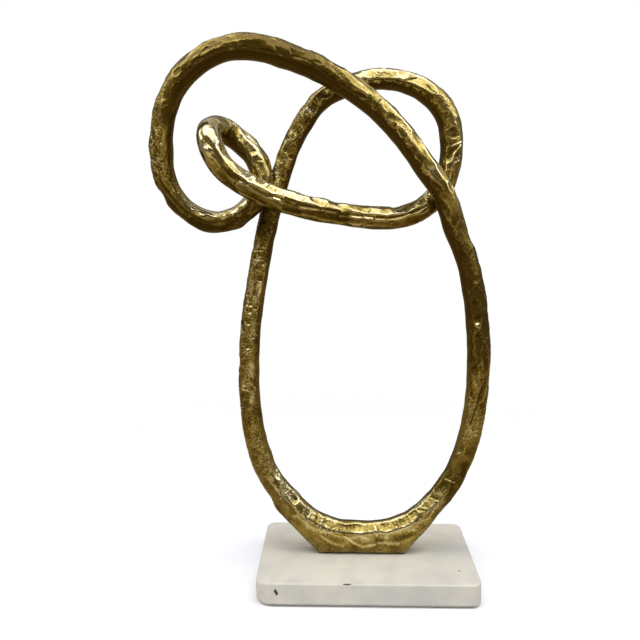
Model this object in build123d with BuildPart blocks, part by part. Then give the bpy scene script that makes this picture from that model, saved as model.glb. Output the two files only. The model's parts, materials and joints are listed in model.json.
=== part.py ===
"""Metal knot sculpture: one hammered brass strand in a loose open knot on a white marble slab.

The strand is closed: it rises from a cast foot, crosses itself and comes back down to the foot.
It is cast as a foot and three limbs, butt-welded end to end, with small tack welds where the limbs
cross. Two screws and washers hold the foot to the marble from below, and a felt sheet covers them.
Millimetres, +Z up, the viewer looks along +Y. The origin is the middle of the underside that the
sculpture rests on.
"""

import os
from math import sqrt

from build123d import *

# Marble slab
slab_width = 152
slab_depth = 102
slab_thickness = 15
slab_corner_radius = 9
slab_top_round = 1.2
slab_bottom_chamfer = 0.6

# Felt under the slab
felt_thickness = 2
felt_inset = 2

# Knot: its box, the strand's nominal diameter and how far left of the middle its foot stands
knot_width = 232
knot_height = 359
strand_diameter = 15.4
foot_offset = 3.3

# Foot casting, where it spreads to the slab below the strand
foot_width = 63
foot_depth = 14.5
foot_corner_radius = 5

# Welds: the flat land left inside each bevelled end, the straight run that the bevel is cut on,
# the bead that stands proud on the right lobe, and the tack welds at the crossings
weld_land_diameter = 9.4
weld_run = 3.8
lobe_bead_height = 0.5
tack_diameter = 8

# Fixings: two screws from below, with washers, in counterbored holes
screw_spacing = 36
screw_diameter = 6
screw_length = 20
screw_head_diameter = 10
screw_head_height = 4
screw_socket_width = 5
screw_socket_depth = 2.6
washer_diameter = 14
washer_bore = 6.4
washer_thickness = 1.2
slab_hole_diameter = 7
counterbore_diameter = 16
counterbore_depth = 6
foot_hole_depth = 12

slab_underside = felt_thickness
slab_top = slab_underside + slab_thickness
screw_seat = slab_underside + counterbore_depth

# Each limb's own diameter as a share of the strand's, which the foot casting keeps
left_limb_diameter_share = 0.92
front_sweep_diameter_share = 1.01
crown_loop_diameter_share = 1.03
casting_diameters = {
    "left_limb": strand_diameter * left_limb_diameter_share,
    "front_sweep": strand_diameter * front_sweep_diameter_share,
    "crown_loop": strand_diameter * crown_loop_diameter_share,
    "foot_casting": strand_diameter,
}

# Where the strand crosses itself, as shares: across the knot from the foot's middle, then up it.
# The returning strand passes beside the left leg, a share of the strand's diameter away.
top_crossing_share = (-0.059, 0.917)
right_crossing_share = (0.225, 0.722)
leg_crossing_share = (-0.2615, 0.722)
beside_leg_share = 0.63
return_crossing_share = (
    leg_crossing_share[0] - beside_leg_share * strand_diameter / knot_width,
    leg_crossing_share[1],
)

# Depth of each strand at the crossings, in strand diameters, where minus is nearer the viewer
leg_depth_share = 0.34
return_depth_share = -0.44
sweep_depth_share = -1.47
lobe_depth_share = 0.57
diagonal_depth_share = -0.485
top_back_depth_share = 0.40
top_front_depth_share = -0.60

# Route points as shares: across the knot from the foot's middle, up it, and in depth, in strand
# diameters. Each casting's points start at the weld where it begins.
foot_side_shares = [
    (0.345, 0.315, 0),
    (0.325, 0.236, 0),
    (0.277, 0.152, 0),
    (0.225, 0.106, 0),
    (0.160, 0.070, 0),
    (0.085, 0.052, 0),
]
route_shares = {
    "left_limb": [
        (-0.345, 0.315, 0),
        (-0.346, 0.395, 0.04),
        (-0.338, 0.474, 0.12),
        (-0.319, 0.553, 0.19),
        (-0.291, 0.649, 0.28),
        (*leg_crossing_share, leg_depth_share),
        (-0.220, 0.801, 0.35),
        (-0.174, 0.857, 0.35),
        (-0.127, 0.894, 0.37),
        (*top_crossing_share, top_back_depth_share),
        (0.015, 0.931, 0.54),
        (0.089, 0.931, 0.70),
        (0.178, 0.907, 0.80),
        (0.229, 0.877, 0.80),
    ],
    "front_sweep": [
        (0.259, 0.809, 0.74),
        (0.254, 0.764, 0.64),
        (*right_crossing_share, lobe_depth_share),
        (0.178, 0.692, 0.38),
        (0.121, 0.676, 0.12),
        (0.031, 0.673, -0.32),
        (-0.057, 0.680, -0.71),
        (-0.144, 0.690, -1.03),
        (-0.228, 0.704, -1.32),
        (*return_crossing_share, sweep_depth_share),
        (-0.347, 0.740, -1.55),
        (-0.397, 0.765, -1.63),
        (-0.428, 0.799, -1.67),
        (-0.438, 0.821, -1.50),
        (-0.434, 0.840, -0.77),
        (-0.397, 0.834, 0.04),
        (-0.358, 0.813, 0.06),
        (-0.315, 0.781, -0.20),
        (*return_crossing_share, return_depth_share),
    ],
    "crown_loop": [
        (-0.336, 0.693, -0.36),
        (-0.380, 0.673, -0.33),
        (-0.439, 0.665, -0.35),
        (-0.497, 0.677, -0.42),
        (-0.547, 0.707, -0.51),
        (-0.576, 0.743, -0.64),
        (-0.584, 0.798, -0.83),
        (-0.574, 0.851, -0.99),
        (-0.541, 0.903, -1.15),
        (-0.476, 0.948, -1.28),
        (-0.391, 0.974, -1.31),
        (-0.309, 0.977, -1.25),
        (-0.227, 0.964, -1.09),
        (-0.144, 0.945, -0.87),
        (*top_crossing_share, top_front_depth_share),
        (0.027, 0.876, -0.55),
        (0.117, 0.816, -0.51),
        (0.180, 0.762, -0.49),
        (*right_crossing_share, diagonal_depth_share),
        (0.269, 0.650, -0.38),
        (0.303, 0.594, -0.29),
        (0.331, 0.516, -0.19),
        (0.346, 0.438, -0.10),
        (0.349, 0.358, -0.03),
    ],
    "foot_casting": [
        *foot_side_shares,
        (0, 0.047, 0),
        *((-across, up, depth) for across, up, depth in reversed(foot_side_shares[1:])),
    ],
}

# One side of the foot's spread below the strand, as shares: of its own half width, and up the knot
foot_flank_shares = [
    (0, 0),
    (1, 0),
    (1.75, 0.066),
    (1.95, 0.096),
    (1.86, 0.125),
    (1.66, 0.106),
    (1.18, 0.070),
    (0, 0.047),
]


def knot_point(across_share, up_share, depth_share):
    """A point of the strand's centreline."""
    return Vector(
        knot_width * across_share - foot_offset,
        strand_diameter * depth_share,
        slab_top + knot_height * up_share,
    )


def closed_route():
    """Each casting's points and directions, its last point being the next casting's first."""
    points = [knot_point(*share) for shares in route_shares.values() for share in shares]
    directions = []
    for index, point in enumerate(points):
        before = point - points[index - 1]
        after = points[(index + 1) % len(points)] - point
        blend = before.normalized() * after.length + after.normalized() * before.length
        directions.append(blend.normalized())
    routes = {}
    start = 0
    for name, shares in route_shares.items():
        order = [index % len(points) for index in range(start, start + len(shares) + 1)]
        routes[name] = ([points[i] for i in order], [directions[i] for i in order])
        start += len(shares)
    return routes


def arc_pair(start, start_direction, end, end_direction):
    """Two tangent arcs, added to the line in hand, from one route point to the next."""
    span = end - start
    both = start_direction + end_direction
    lean = span.dot(both)
    reach = span.dot(span) / (lean + sqrt(lean**2 + (4 - both.dot(both)) * span.dot(span)))
    start_corner = start + start_direction * reach
    end_corner = end - end_direction * reach
    middle = (start_corner + end_corner) * 0.5
    TangentArc(start, middle, tangent=start_direction)
    TangentArc(middle, end, tangent=end_corner - start_corner)


def strand_path(points, directions):
    """The centreline of one casting: a straight run at each weld, and arcs between."""
    first = points[0] + directions[0] * weld_run
    last = points[-1] - directions[-1] * weld_run
    on_curve = [first, *points[1:-1], last]
    with BuildLine() as path:
        Line(points[0], first)
        for start, end, out_of, into in zip(on_curve, on_curve[1:], directions, directions[1:]):
            arc_pair(start, out_of, end, into)
        Line(last, points[-1])
    return path.line


def strand_radius(name):
    return casting_diameters[name] / 2


def bevel_depth(name):
    """How deep the 45 degree bevel at a casting's ends is cut, down to the weld's land."""
    return strand_radius(name) - weld_land_diameter / 2


def strand(name):
    """One casting's length of the strand, its ends bevelled for the welds."""
    points, directions = routes[name]
    with BuildPart() as length:
        with BuildSketch(Plane(origin=points[0], z_dir=directions[0])):
            Circle(strand_radius(name))
        sweep(path=strand_path(points, directions))
        ends = length.faces().filter_by(GeomType.PLANE)
        chamfer(ends.edges(), length=bevel_depth(name))
    return length


def butt_weld(name, before, after, bead_height=0):
    """The ring of weld that fills the bevels where one casting ends and the next begins."""
    point = routes[after][0][0]
    along = routes[after][1][0]
    root = (0, weld_land_diameter / 2)
    toe_before = (-bevel_depth(before), strand_radius(before))
    toe_after = (bevel_depth(after), strand_radius(after))
    with BuildPart() as weld:
        with BuildSketch(Plane(origin=point, x_dir=along, z_dir=along.cross(Vector(0, 1, 0)))):
            with BuildLine():
                Line(root, toe_before)
                if bead_height:
                    SagittaArc(toe_before, toe_after, bead_height)
                else:
                    Line(toe_before, toe_after)
                Line(toe_after, root)
            make_face()
        revolve(axis=Axis(point, along))
    return finished(weld, name)


def tack_weld(name, start_share, end_share, *strands):
    """A small weld between two strands that cross, on the line between their centres."""
    start = knot_point(*start_share)
    end = knot_point(*end_share)
    with BuildPart() as weld:
        with BuildSketch(Plane(origin=start, z_dir=end - start)):
            Circle(tack_diameter / 2)
        extrude(amount=(end - start).length)
        for strand in strands:
            add(strand, mode=Mode.SUBTRACT)
    return finished(weld, name)


def finished(builder, name):
    """The piece, labelled and written out."""
    builder.part.label = name
    export_step(builder.part, f"parts/{name}.step")
    return builder.part


os.makedirs("parts", exist_ok=True)
routes = closed_route()


def seen_from_below(height):
    """A plane at this height, facing down, with its middle under the foot's middle."""
    return Plane(origin=(-foot_offset, 0, height), x_dir=(1, 0, 0), z_dir=(0, 0, -1))


# Felt sheet
with BuildPart() as felt:
    with BuildSketch():
        RectangleRounded(
            slab_width - 2 * felt_inset,
            slab_depth - 2 * felt_inset,
            slab_corner_radius - felt_inset,
        )
    extrude(amount=felt_thickness)
finished(felt, "felt_sheet")

# Marble slab
with BuildPart() as slab:
    with BuildSketch(Plane.XY.offset(slab_underside)):
        RectangleRounded(slab_width, slab_depth, slab_corner_radius)
    extrude(amount=slab_thickness)
    fillet(slab.edges().group_by(Axis.Z)[-1], slab_top_round)
    chamfer(slab.edges().group_by(Axis.Z)[0], slab_bottom_chamfer)
    with Locations(seen_from_below(slab_underside)):
        with GridLocations(screw_spacing, 0, 2, 1):
            CounterBoreHole(slab_hole_diameter / 2, counterbore_diameter / 2, counterbore_depth)
finished(slab, "marble_base")

# Limbs
left_limb = finished(strand("left_limb"), "left_limb")
front_sweep = finished(strand("front_sweep"), "front_sweep")
crown_loop = finished(strand("crown_loop"), "crown_loop")

# Spread of the foot below the strand
front_view = Plane(
    origin=(-foot_offset, foot_depth / 2, slab_top), x_dir=(1, 0, 0), z_dir=(0, -1, 0)
)
with BuildPart() as foot_spread:
    with BuildSketch(front_view):
        with BuildLine():
            Polyline(
                *((foot_width / 2 * across, knot_height * up) for across, up in foot_flank_shares),
                close=True,
            )
        make_face()
        mirror(about=Plane.YZ)
    extrude(amount=foot_depth)
    flanks = foot_spread.faces().filter_by(lambda face: face.normal_at().Z < 0)
    flanks = flanks.filter_by(Axis.Z, reverse=True)
    fillet(flanks.edges().filter_by(Axis.Y, reverse=True), foot_corner_radius)

# Foot casting, with blind holes for the screws
with BuildPart() as foot:
    add(strand("foot_casting").part)
    add(foot_spread.part)
    with BuildSketch(seen_from_below(slab_top)):
        with GridLocations(screw_spacing, 0, 2, 1):
            Circle(screw_diameter / 2)
    extrude(amount=-foot_hole_depth, mode=Mode.SUBTRACT)
finished(foot, "foot_casting")

# Welds at the ends of the castings, the one on the right lobe standing proud
butt_weld("weld_left_leg", "foot_casting", "left_limb")
butt_weld("weld_right_lobe", "left_limb", "front_sweep", lobe_bead_height)
butt_weld("weld_behind_sweep", "front_sweep", "crown_loop")
butt_weld("weld_right_leg", "crown_loop", "foot_casting")

# Tack welds where the strand crosses or lies beside itself
tack_weld(
    "tack_top_crossing",
    (*top_crossing_share, top_back_depth_share),
    (*top_crossing_share, top_front_depth_share),
    left_limb,
    crown_loop,
)
tack_weld(
    "tack_right_crossing",
    (*right_crossing_share, lobe_depth_share),
    (*right_crossing_share, diagonal_depth_share),
    front_sweep,
    crown_loop,
)
tack_weld(
    "tack_behind_sweep",
    (*return_crossing_share, return_depth_share),
    (*return_crossing_share, sweep_depth_share),
    front_sweep,
)
tack_weld(
    "tack_left_leg",
    (*leg_crossing_share, leg_depth_share),
    (*return_crossing_share, return_depth_share),
    left_limb,
    front_sweep,
)

# Screws and washers
washer_face = screw_seat - washer_thickness
for side, place in (("left", -screw_spacing / 2), ("right", screw_spacing / 2)):
    with BuildPart() as washer:
        with BuildSketch(seen_from_below(screw_seat)):
            with Locations((place, 0)):
                Circle(washer_diameter / 2)
                Circle(washer_bore / 2, mode=Mode.SUBTRACT)
        extrude(amount=washer_thickness)
    finished(washer, f"washer_{side}")
    with BuildPart() as screw:
        with BuildSketch(seen_from_below(washer_face)):
            with Locations((place, 0)):
                Circle(screw_head_diameter / 2)
        extrude(amount=screw_head_height)
        with BuildSketch(seen_from_below(washer_face)):
            with Locations((place, 0)):
                Circle(screw_diameter / 2)
        extrude(amount=-screw_length)
        with BuildSketch(seen_from_below(washer_face - screw_head_height)):
            with Locations((place, 0)):
                RegularPolygon(screw_socket_width / 2, 6, major_radius=False)
        extrude(amount=-screw_socket_depth, mode=Mode.SUBTRACT)
    finished(screw, f"base_screw_{side}")
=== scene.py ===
"""Metal knot sculpture: the looks of a hammered brass strand in a loose open knot, on white marble.

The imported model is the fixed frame. The strand's four castings, their welds and the marble slab are
remade here with the hammer marks, the cast skin and the chips that the real ones show. The felt, the
washers and the screws stay as the frame has them and only get their materials.
Metres, +Z up, the viewer looks along +Y.
"""

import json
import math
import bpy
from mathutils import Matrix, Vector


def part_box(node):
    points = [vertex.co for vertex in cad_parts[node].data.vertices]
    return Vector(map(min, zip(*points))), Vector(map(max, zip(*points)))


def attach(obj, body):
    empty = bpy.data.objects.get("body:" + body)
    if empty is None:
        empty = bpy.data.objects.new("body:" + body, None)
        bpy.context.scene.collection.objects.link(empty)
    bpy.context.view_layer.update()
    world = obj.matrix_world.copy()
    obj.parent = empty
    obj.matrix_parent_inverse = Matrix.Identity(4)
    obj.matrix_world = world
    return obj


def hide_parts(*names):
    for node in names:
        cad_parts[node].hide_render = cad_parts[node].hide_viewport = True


bl_info = {
    "name": "Metal knot sculpture",
    "version": (1, 0, 0),
    "blender": (4, 5, 0),
    "location": "3D View > Sidebar > Knot sculpture",
    "description": "Hammered brass knot on a marble slab, built round its packed model",
    "category": "Add Mesh",
}

import bmesh
import bpy
import numpy as np
from bpy.props import FloatProperty, FloatVectorProperty, IntProperty, PointerProperty
from mathutils import Matrix, Vector, noise

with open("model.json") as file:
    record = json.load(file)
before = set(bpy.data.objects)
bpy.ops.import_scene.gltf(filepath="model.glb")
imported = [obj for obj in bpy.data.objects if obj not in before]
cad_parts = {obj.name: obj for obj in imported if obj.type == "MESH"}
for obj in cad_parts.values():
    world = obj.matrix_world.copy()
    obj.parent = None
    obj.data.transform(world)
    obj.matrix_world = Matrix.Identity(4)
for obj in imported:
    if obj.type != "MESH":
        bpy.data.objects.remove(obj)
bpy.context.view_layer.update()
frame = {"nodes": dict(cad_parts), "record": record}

MM = 0.001
CASTINGS = ("left_limb", "front_sweep", "crown_loop", "foot_casting")

# Where the strand crosses itself, as shares: across the knot from the foot's middle, then up it
TOP_CROSSING_SHARE = (-0.059, 0.917)
RIGHT_CROSSING_SHARE = (0.225, 0.722)
LEG_CROSSING_SHARE = (-0.2615, 0.722)
RETURN_CROSSING_SHARE = (-0.3033, 0.722)

# The strand's route. Each casting's points start at the weld where it begins. A point has its share
# across the knot from the foot's middle, its share up it, its depth in strand diameters, where minus
# is nearer the viewer, and the casting's own thickness there as a share of the strand's diameter.
ROUTE_SHARES = {
    "left_limb": [
        (-0.345, 0.315, 0, 0.96),
        (-0.346, 0.395, 0.04, 0.94),
        (-0.338, 0.474, 0.12, 0.93),
        (-0.319, 0.553, 0.19, 0.91),
        (-0.291, 0.649, 0.28, 0.90),
        (*LEG_CROSSING_SHARE, 0.34, 0.89),
        (-0.220, 0.801, 0.35, 0.87),
        (-0.174, 0.857, 0.35, 0.87),
        (-0.127, 0.894, 0.37, 0.89),
        (*TOP_CROSSING_SHARE, 0.40, 0.91),
        (0.015, 0.931, 0.54, 0.92),
        (0.089, 0.932, 0.70, 0.93),
        (0.182, 0.910, 0.80, 1.03),
        (0.232, 0.879, 0.80, 1.07),
    ],
    "front_sweep": [
        (0.259, 0.809, 0.74, 1.03),
        (0.252, 0.764, 0.64, 1.00),
        (*RIGHT_CROSSING_SHARE, 0.57, 0.99),
        (0.178, 0.692, 0.38, 0.97),
        (0.121, 0.676, 0.12, 0.99),
        (0.031, 0.673, -0.32, 1.03),
        (-0.057, 0.680, -0.71, 1.00),
        (-0.144, 0.690, -1.03, 1.04),
        (-0.228, 0.704, -1.32, 1.03),
        (*RETURN_CROSSING_SHARE, -1.47, 1.03),
        (-0.348, 0.738, -1.55, 1.04),
        (-0.399, 0.763, -1.63, 1.05),
        (-0.430, 0.797, -1.67, 1.06),
        (-0.440, 0.819, -1.50, 1.07),
        (-0.435, 0.837, -0.77, 1.09),
        (-0.398, 0.832, 0.04, 1.09),
        (-0.358, 0.813, 0.06, 1.07),
        (-0.315, 0.781, -0.20, 1.01),
        (*RETURN_CROSSING_SHARE, -0.44, 0.98),
    ],
    "crown_loop": [
        (-0.336, 0.693, -0.36, 0.98),
        (-0.380, 0.673, -0.33, 0.99),
        (-0.439, 0.665, -0.35, 0.98),
        (-0.497, 0.677, -0.42, 0.93),
        (-0.547, 0.707, -0.51, 0.88),
        (-0.576, 0.743, -0.64, 0.95),
        (-0.584, 0.798, -0.83, 1.04),
        (-0.574, 0.851, -0.99, 1.01),
        (-0.541, 0.903, -1.15, 1.01),
        (-0.476, 0.948, -1.28, 1.08),
        (-0.391, 0.974, -1.31, 1.07),
        (-0.309, 0.977, -1.25, 1.13),
        (-0.227, 0.964, -1.09, 1.13),
        (-0.144, 0.945, -0.87, 1.09),
        (*TOP_CROSSING_SHARE, -0.60, 1.07),
        (0.028, 0.877, -0.55, 1.04),
        (0.118, 0.8165, -0.51, 1.02),
        (0.180, 0.762, -0.49, 1.05),
        (*RIGHT_CROSSING_SHARE, -0.485, 1.04),
        (0.266, 0.650, -0.38, 1.00),
        (0.303, 0.594, -0.29, 0.98),
        (0.331, 0.516, -0.19, 1.04),
        (0.346, 0.438, -0.10, 1.06),
        (0.349, 0.358, -0.03, 1.05),
    ],
    "foot_casting": [
        (0.345, 0.315, 0, 1.03),
        (0.325, 0.236, 0, 1.03),
        (0.277, 0.152, 0, 1.05),
        (0.225, 0.106, 0, 1.05),
        (0.160, 0.068, 0, 1.03),
        (0.085, 0.048, 0, 1.00),
        (0, 0.043, 0, 1.00),
        (-0.085, 0.048, 0, 1.00),
        (-0.160, 0.068, 0, 1.05),
        (-0.226, 0.107, 0, 1.09),
        (-0.281, 0.151, 0, 1.06),
        (-0.329, 0.235, 0, 1.04),
    ],
}

# The foot's left and right flanks: where each straight line ends, as shares of the foot's half width
# and up the knot, and the heights over which it fades into the leg
FLANK_TOP_SHARES = {-1: (2.05, 0.0975), 1: (1.81, 0.083)}
FLANK_FADES = {-1: (38 * MM, 48 * MM), 1: (34 * MM, 56 * MM)}
# How far the foot's underside is drawn below the slab before it is cut flat
FOOT_SINK = 0.3 * MM
# The foot's section: its power, where 2 is round, its depth at the level and its flare downwards as
# shares of its depth on the slab, the reach in radii over which it squares up, and the angles below
# the level over which it turns from the round strand to the foot's block
FOOT_SQUARENESS = 3.6
FOOT_NECK = 0.97
FOOT_FLARE = 0.16
SQUARING_REACH = (1, 1.5)
BLOCK_ANGLES = (math.radians(4), math.radians(50))
# The foot's lower faces, which take no hammer marks: the reach and the angles over which they begin
FACE_REACH = (1, 1.4)
FACE_ANGLES = (math.radians(40), math.radians(52))
# How squarely a flank or the slab faces a point of the foot at the least, so that no reach is endless
LEAST_FACING = 0.05
# How many radii a ring of the foot reaches before its points are spread anew
FOOT_FROM = 1.01

# How finely the strand's line is worked out, in steps for each ring, and how far bends in the line and
# changes in its thickness are blended
FINE_STEPS = 4
LINE_BLEND = 2 * MM
GIRTH_BLEND = 5 * MM
# How strongly each mm of the strand turns its front back to the viewer
FRONT_PULL = 0.07

# How each casting is hammered: the pitch of its facets along the strand, how many go round, a
# facet's half length, half width and depth, and the nicks in each 10 mm
HAMMERING = {
    "left_limb": (7.5 * MM, 4, 3.5 * MM, 3.3 * MM, 0.74 * MM, 1.2),
    "front_sweep": (11.0 * MM, 4, 9.0 * MM, 3.2 * MM, 0.62 * MM, 0.3),
    "crown_loop": (11.0 * MM, 4, 8.0 * MM, 3.4 * MM, 0.64 * MM, 0.4),
    "foot_casting": (11.0 * MM, 4, 8.5 * MM, 3.6 * MM, 0.34 * MM, 0.1),
}
# How rough the cast skin is at places in mm along each casting
ROUGHNESS = {
    "left_limb": [(0, 1.2), (200, 1.2), (240, 0.4)],
    "front_sweep": [(0, 0.6), (40, 0.18), (290, 0.3)],
    "crown_loop": [(10, 0.5), (60, 0.6), (75, 1.4), (105, 1.4), (125, 0.4), (370, 0.4), (390, 0.7)],
    "foot_casting": [(20, 0.9), (60, 0.5), (200, 0.5), (240, 1.1)],
}
# The side left smooth: places in mm along each casting, each with the side's direction and its half
# width, both in degrees round from the front to the inner side
SMOOTH_SIDES = {
    "left_limb": [(20, 118, 78), (200, 118, 78), (235, 112, 90)],
    "front_sweep": [(25, 115, 84), (60, 240, 64), (228, 240, 64), (242, 112, 80)],
    "crown_loop": [
        (20, 118, 86),
        (60, 114, 86),
        (95, 104, 84),
        (120, 95, 92),
        (180, 97, 88),
        (260, 104, 90),
        (340, 114, 88),
    ],
    "foot_casting": [(30, 118, 70), (60, 127, 58), (212, 127, 58), (250, 118, 70)],
}
# How tarnished the brass is, from 0, rubbed bright, to 1, dark brown: places in mm along each casting,
# each with the hammered side's tarnish and the smooth side's
TARNISH = {
    "left_limb": [
        (0, 0.6, 0.8),
        (110, 0.6, 0.8),
        (135, 1.0, 1.2),
        (155, 0.6, 1.0),
        (205, 0.6, 1.1),
        (250, 0.2, 1.1),
    ],
    "front_sweep": [
        (0, 0.5, 0.8),
        (25, 0.3, 1.0),
        (50, 0.3, 1.1),
        (205, 0.1, 1.1),
        (235, 0.25, 0.6),
        (255, 0.1, 1.0),
    ],
    "crown_loop": [
        (0, 0.8, 0.1),
        (35, 0.8, 0.2),
        (70, 0.7, 0.5),
        (90, 0.5, 0.6),
        (110, 0.6, 0.8),
        (130, 0.6, 1.1),
        (180, 0.9, 1.1),
        (195, 1.2, 1.1),
        (235, 1.2, 1.1),
        (255, 0.5, 1.1),
        (340, 0.3, 1.0),
        (370, 0.6, 1.0),
        (395, 1.0, 1.0),
        (440, 1.1, 0.9),
    ],
    "foot_casting": [
        (30, 0.3, 0.45),
        (54, 1.0, 0.8),
        (90, 0.4, 0.5),
        (150, 0.4, 0.55),
        (190, 0.35, 0.5),
        (225, 0.1, 0.4),
    ],
}
TARNISH_LIMITS = (-0.3, 1.4)
# Painted shade and light by facing: how much less tarnished the brass is painted on a face that looks
# straight up than on one that looks level, so that faces looking down are painted darker, and how far
# up a face looks that TARNISH holds for, where 1 is straight up
PAINTED_SHADE_BY_FACING = 0.3
PLAIN_UPWARD = 0.3
# How much more tarnish is on the foot's block, and how much less on each mm of a ridge
FOOT_TARNISH = 0.4
RUBBED_PER_MM = 1.2
# How far the hammered side stands over the smooth side, and half the width of the step between them
LIP = 0.30 * MM
LIP_HALF_WIDTH = 0.35 * MM
# How softly the rims of the hammer marks meet
SOFT_RIM = 0.20 * MM
# How much slimmer the finished strand is than its route says
TRIM = 0.14 * MM
# The cast skin's depth, how rough it is at its middle and at its limits, and its pebbles' share and
# the level that they stand out from
SKIN_DEPTH = 0.066 * MM
ROUGH_MIDDLE = 0.85
ROUGH_LIMITS = (0.3, 1.5)
PEBBLE_SHARE = 0.9
PEBBLE_LEVEL = 0.7
# How much less the smooth side shows of the cast grain and of the hammer marks, how much less the foot
# shows of the lip and of the painted shade by facing, and how far that blends into the legs
SMOOTH_LESS_GRAIN = 0.65
SMOOTH_LESS_MARKS = 0.94
FOOT_LESS = 0.8
FOOT_BLEND = 8 * MM
# Ripples all over the skin: the wavelength, the seed of the random draws, and the height
RIPPLES = {
    "edge_waves": (9 * MM, 6, 0.8 * MM),
    "edge_ripples": (3 * MM, 8, 0.3 * MM),
    "rough_patches": (24 * MM, 7, 0.35),
    "cast_grain": (2.3 * MM, 3, 1),
    "pebbles": (3.6 * MM, 4, 1),
    "soft_dents": (6.5 * MM, 9, 0.05 * MM),
    "swelling": (16 * MM, 5, 0.10 * MM),
}
# How far ripples stray from their wavelength, as a share of it
RIPPLE_SPREAD = 0.4
# What counts as a hollow: how deep it lies under the skin within this reach
HOLLOW_REACH = 0.9 * MM
HOLLOW_DEPTH = 0.30 * MM
# Random blows: the seed of their draws, how far they stray round the skin and along it as shares of
# their spacing, how their sizes vary, and the most that they lean in radians and slant
BLOW_SEED = 11
STRAY_ROUND = 0.3
STRAY_ALONG = 0.4
SIZE_RANGE = (0.7, 1.35)
LEAN_AND_SLANT = np.array((0.4, 0.09))
# Random nicks: the least and the most of their half length, half width and depth in mm, and the most
# that they lean in radians
LEAST_NICK = (0.8, 1.6, 0.4)
MOST_NICK = (1.4, 3.2, 0.75)
NICK_LEAN = 0.5
# How far the random blows keep from the placed ones
CLEAR_OF_BLOWS = 4.2 * MM
# A blow longer than this each way from its middle is flat along it, with quick ends
LONG_BLOW = 3.6 * MM
# How far round it a mark is worked out, in half sizes of a blow and in half widths of a line
BLOW_REACH = 1.5
LINE_REACH = 3

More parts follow.
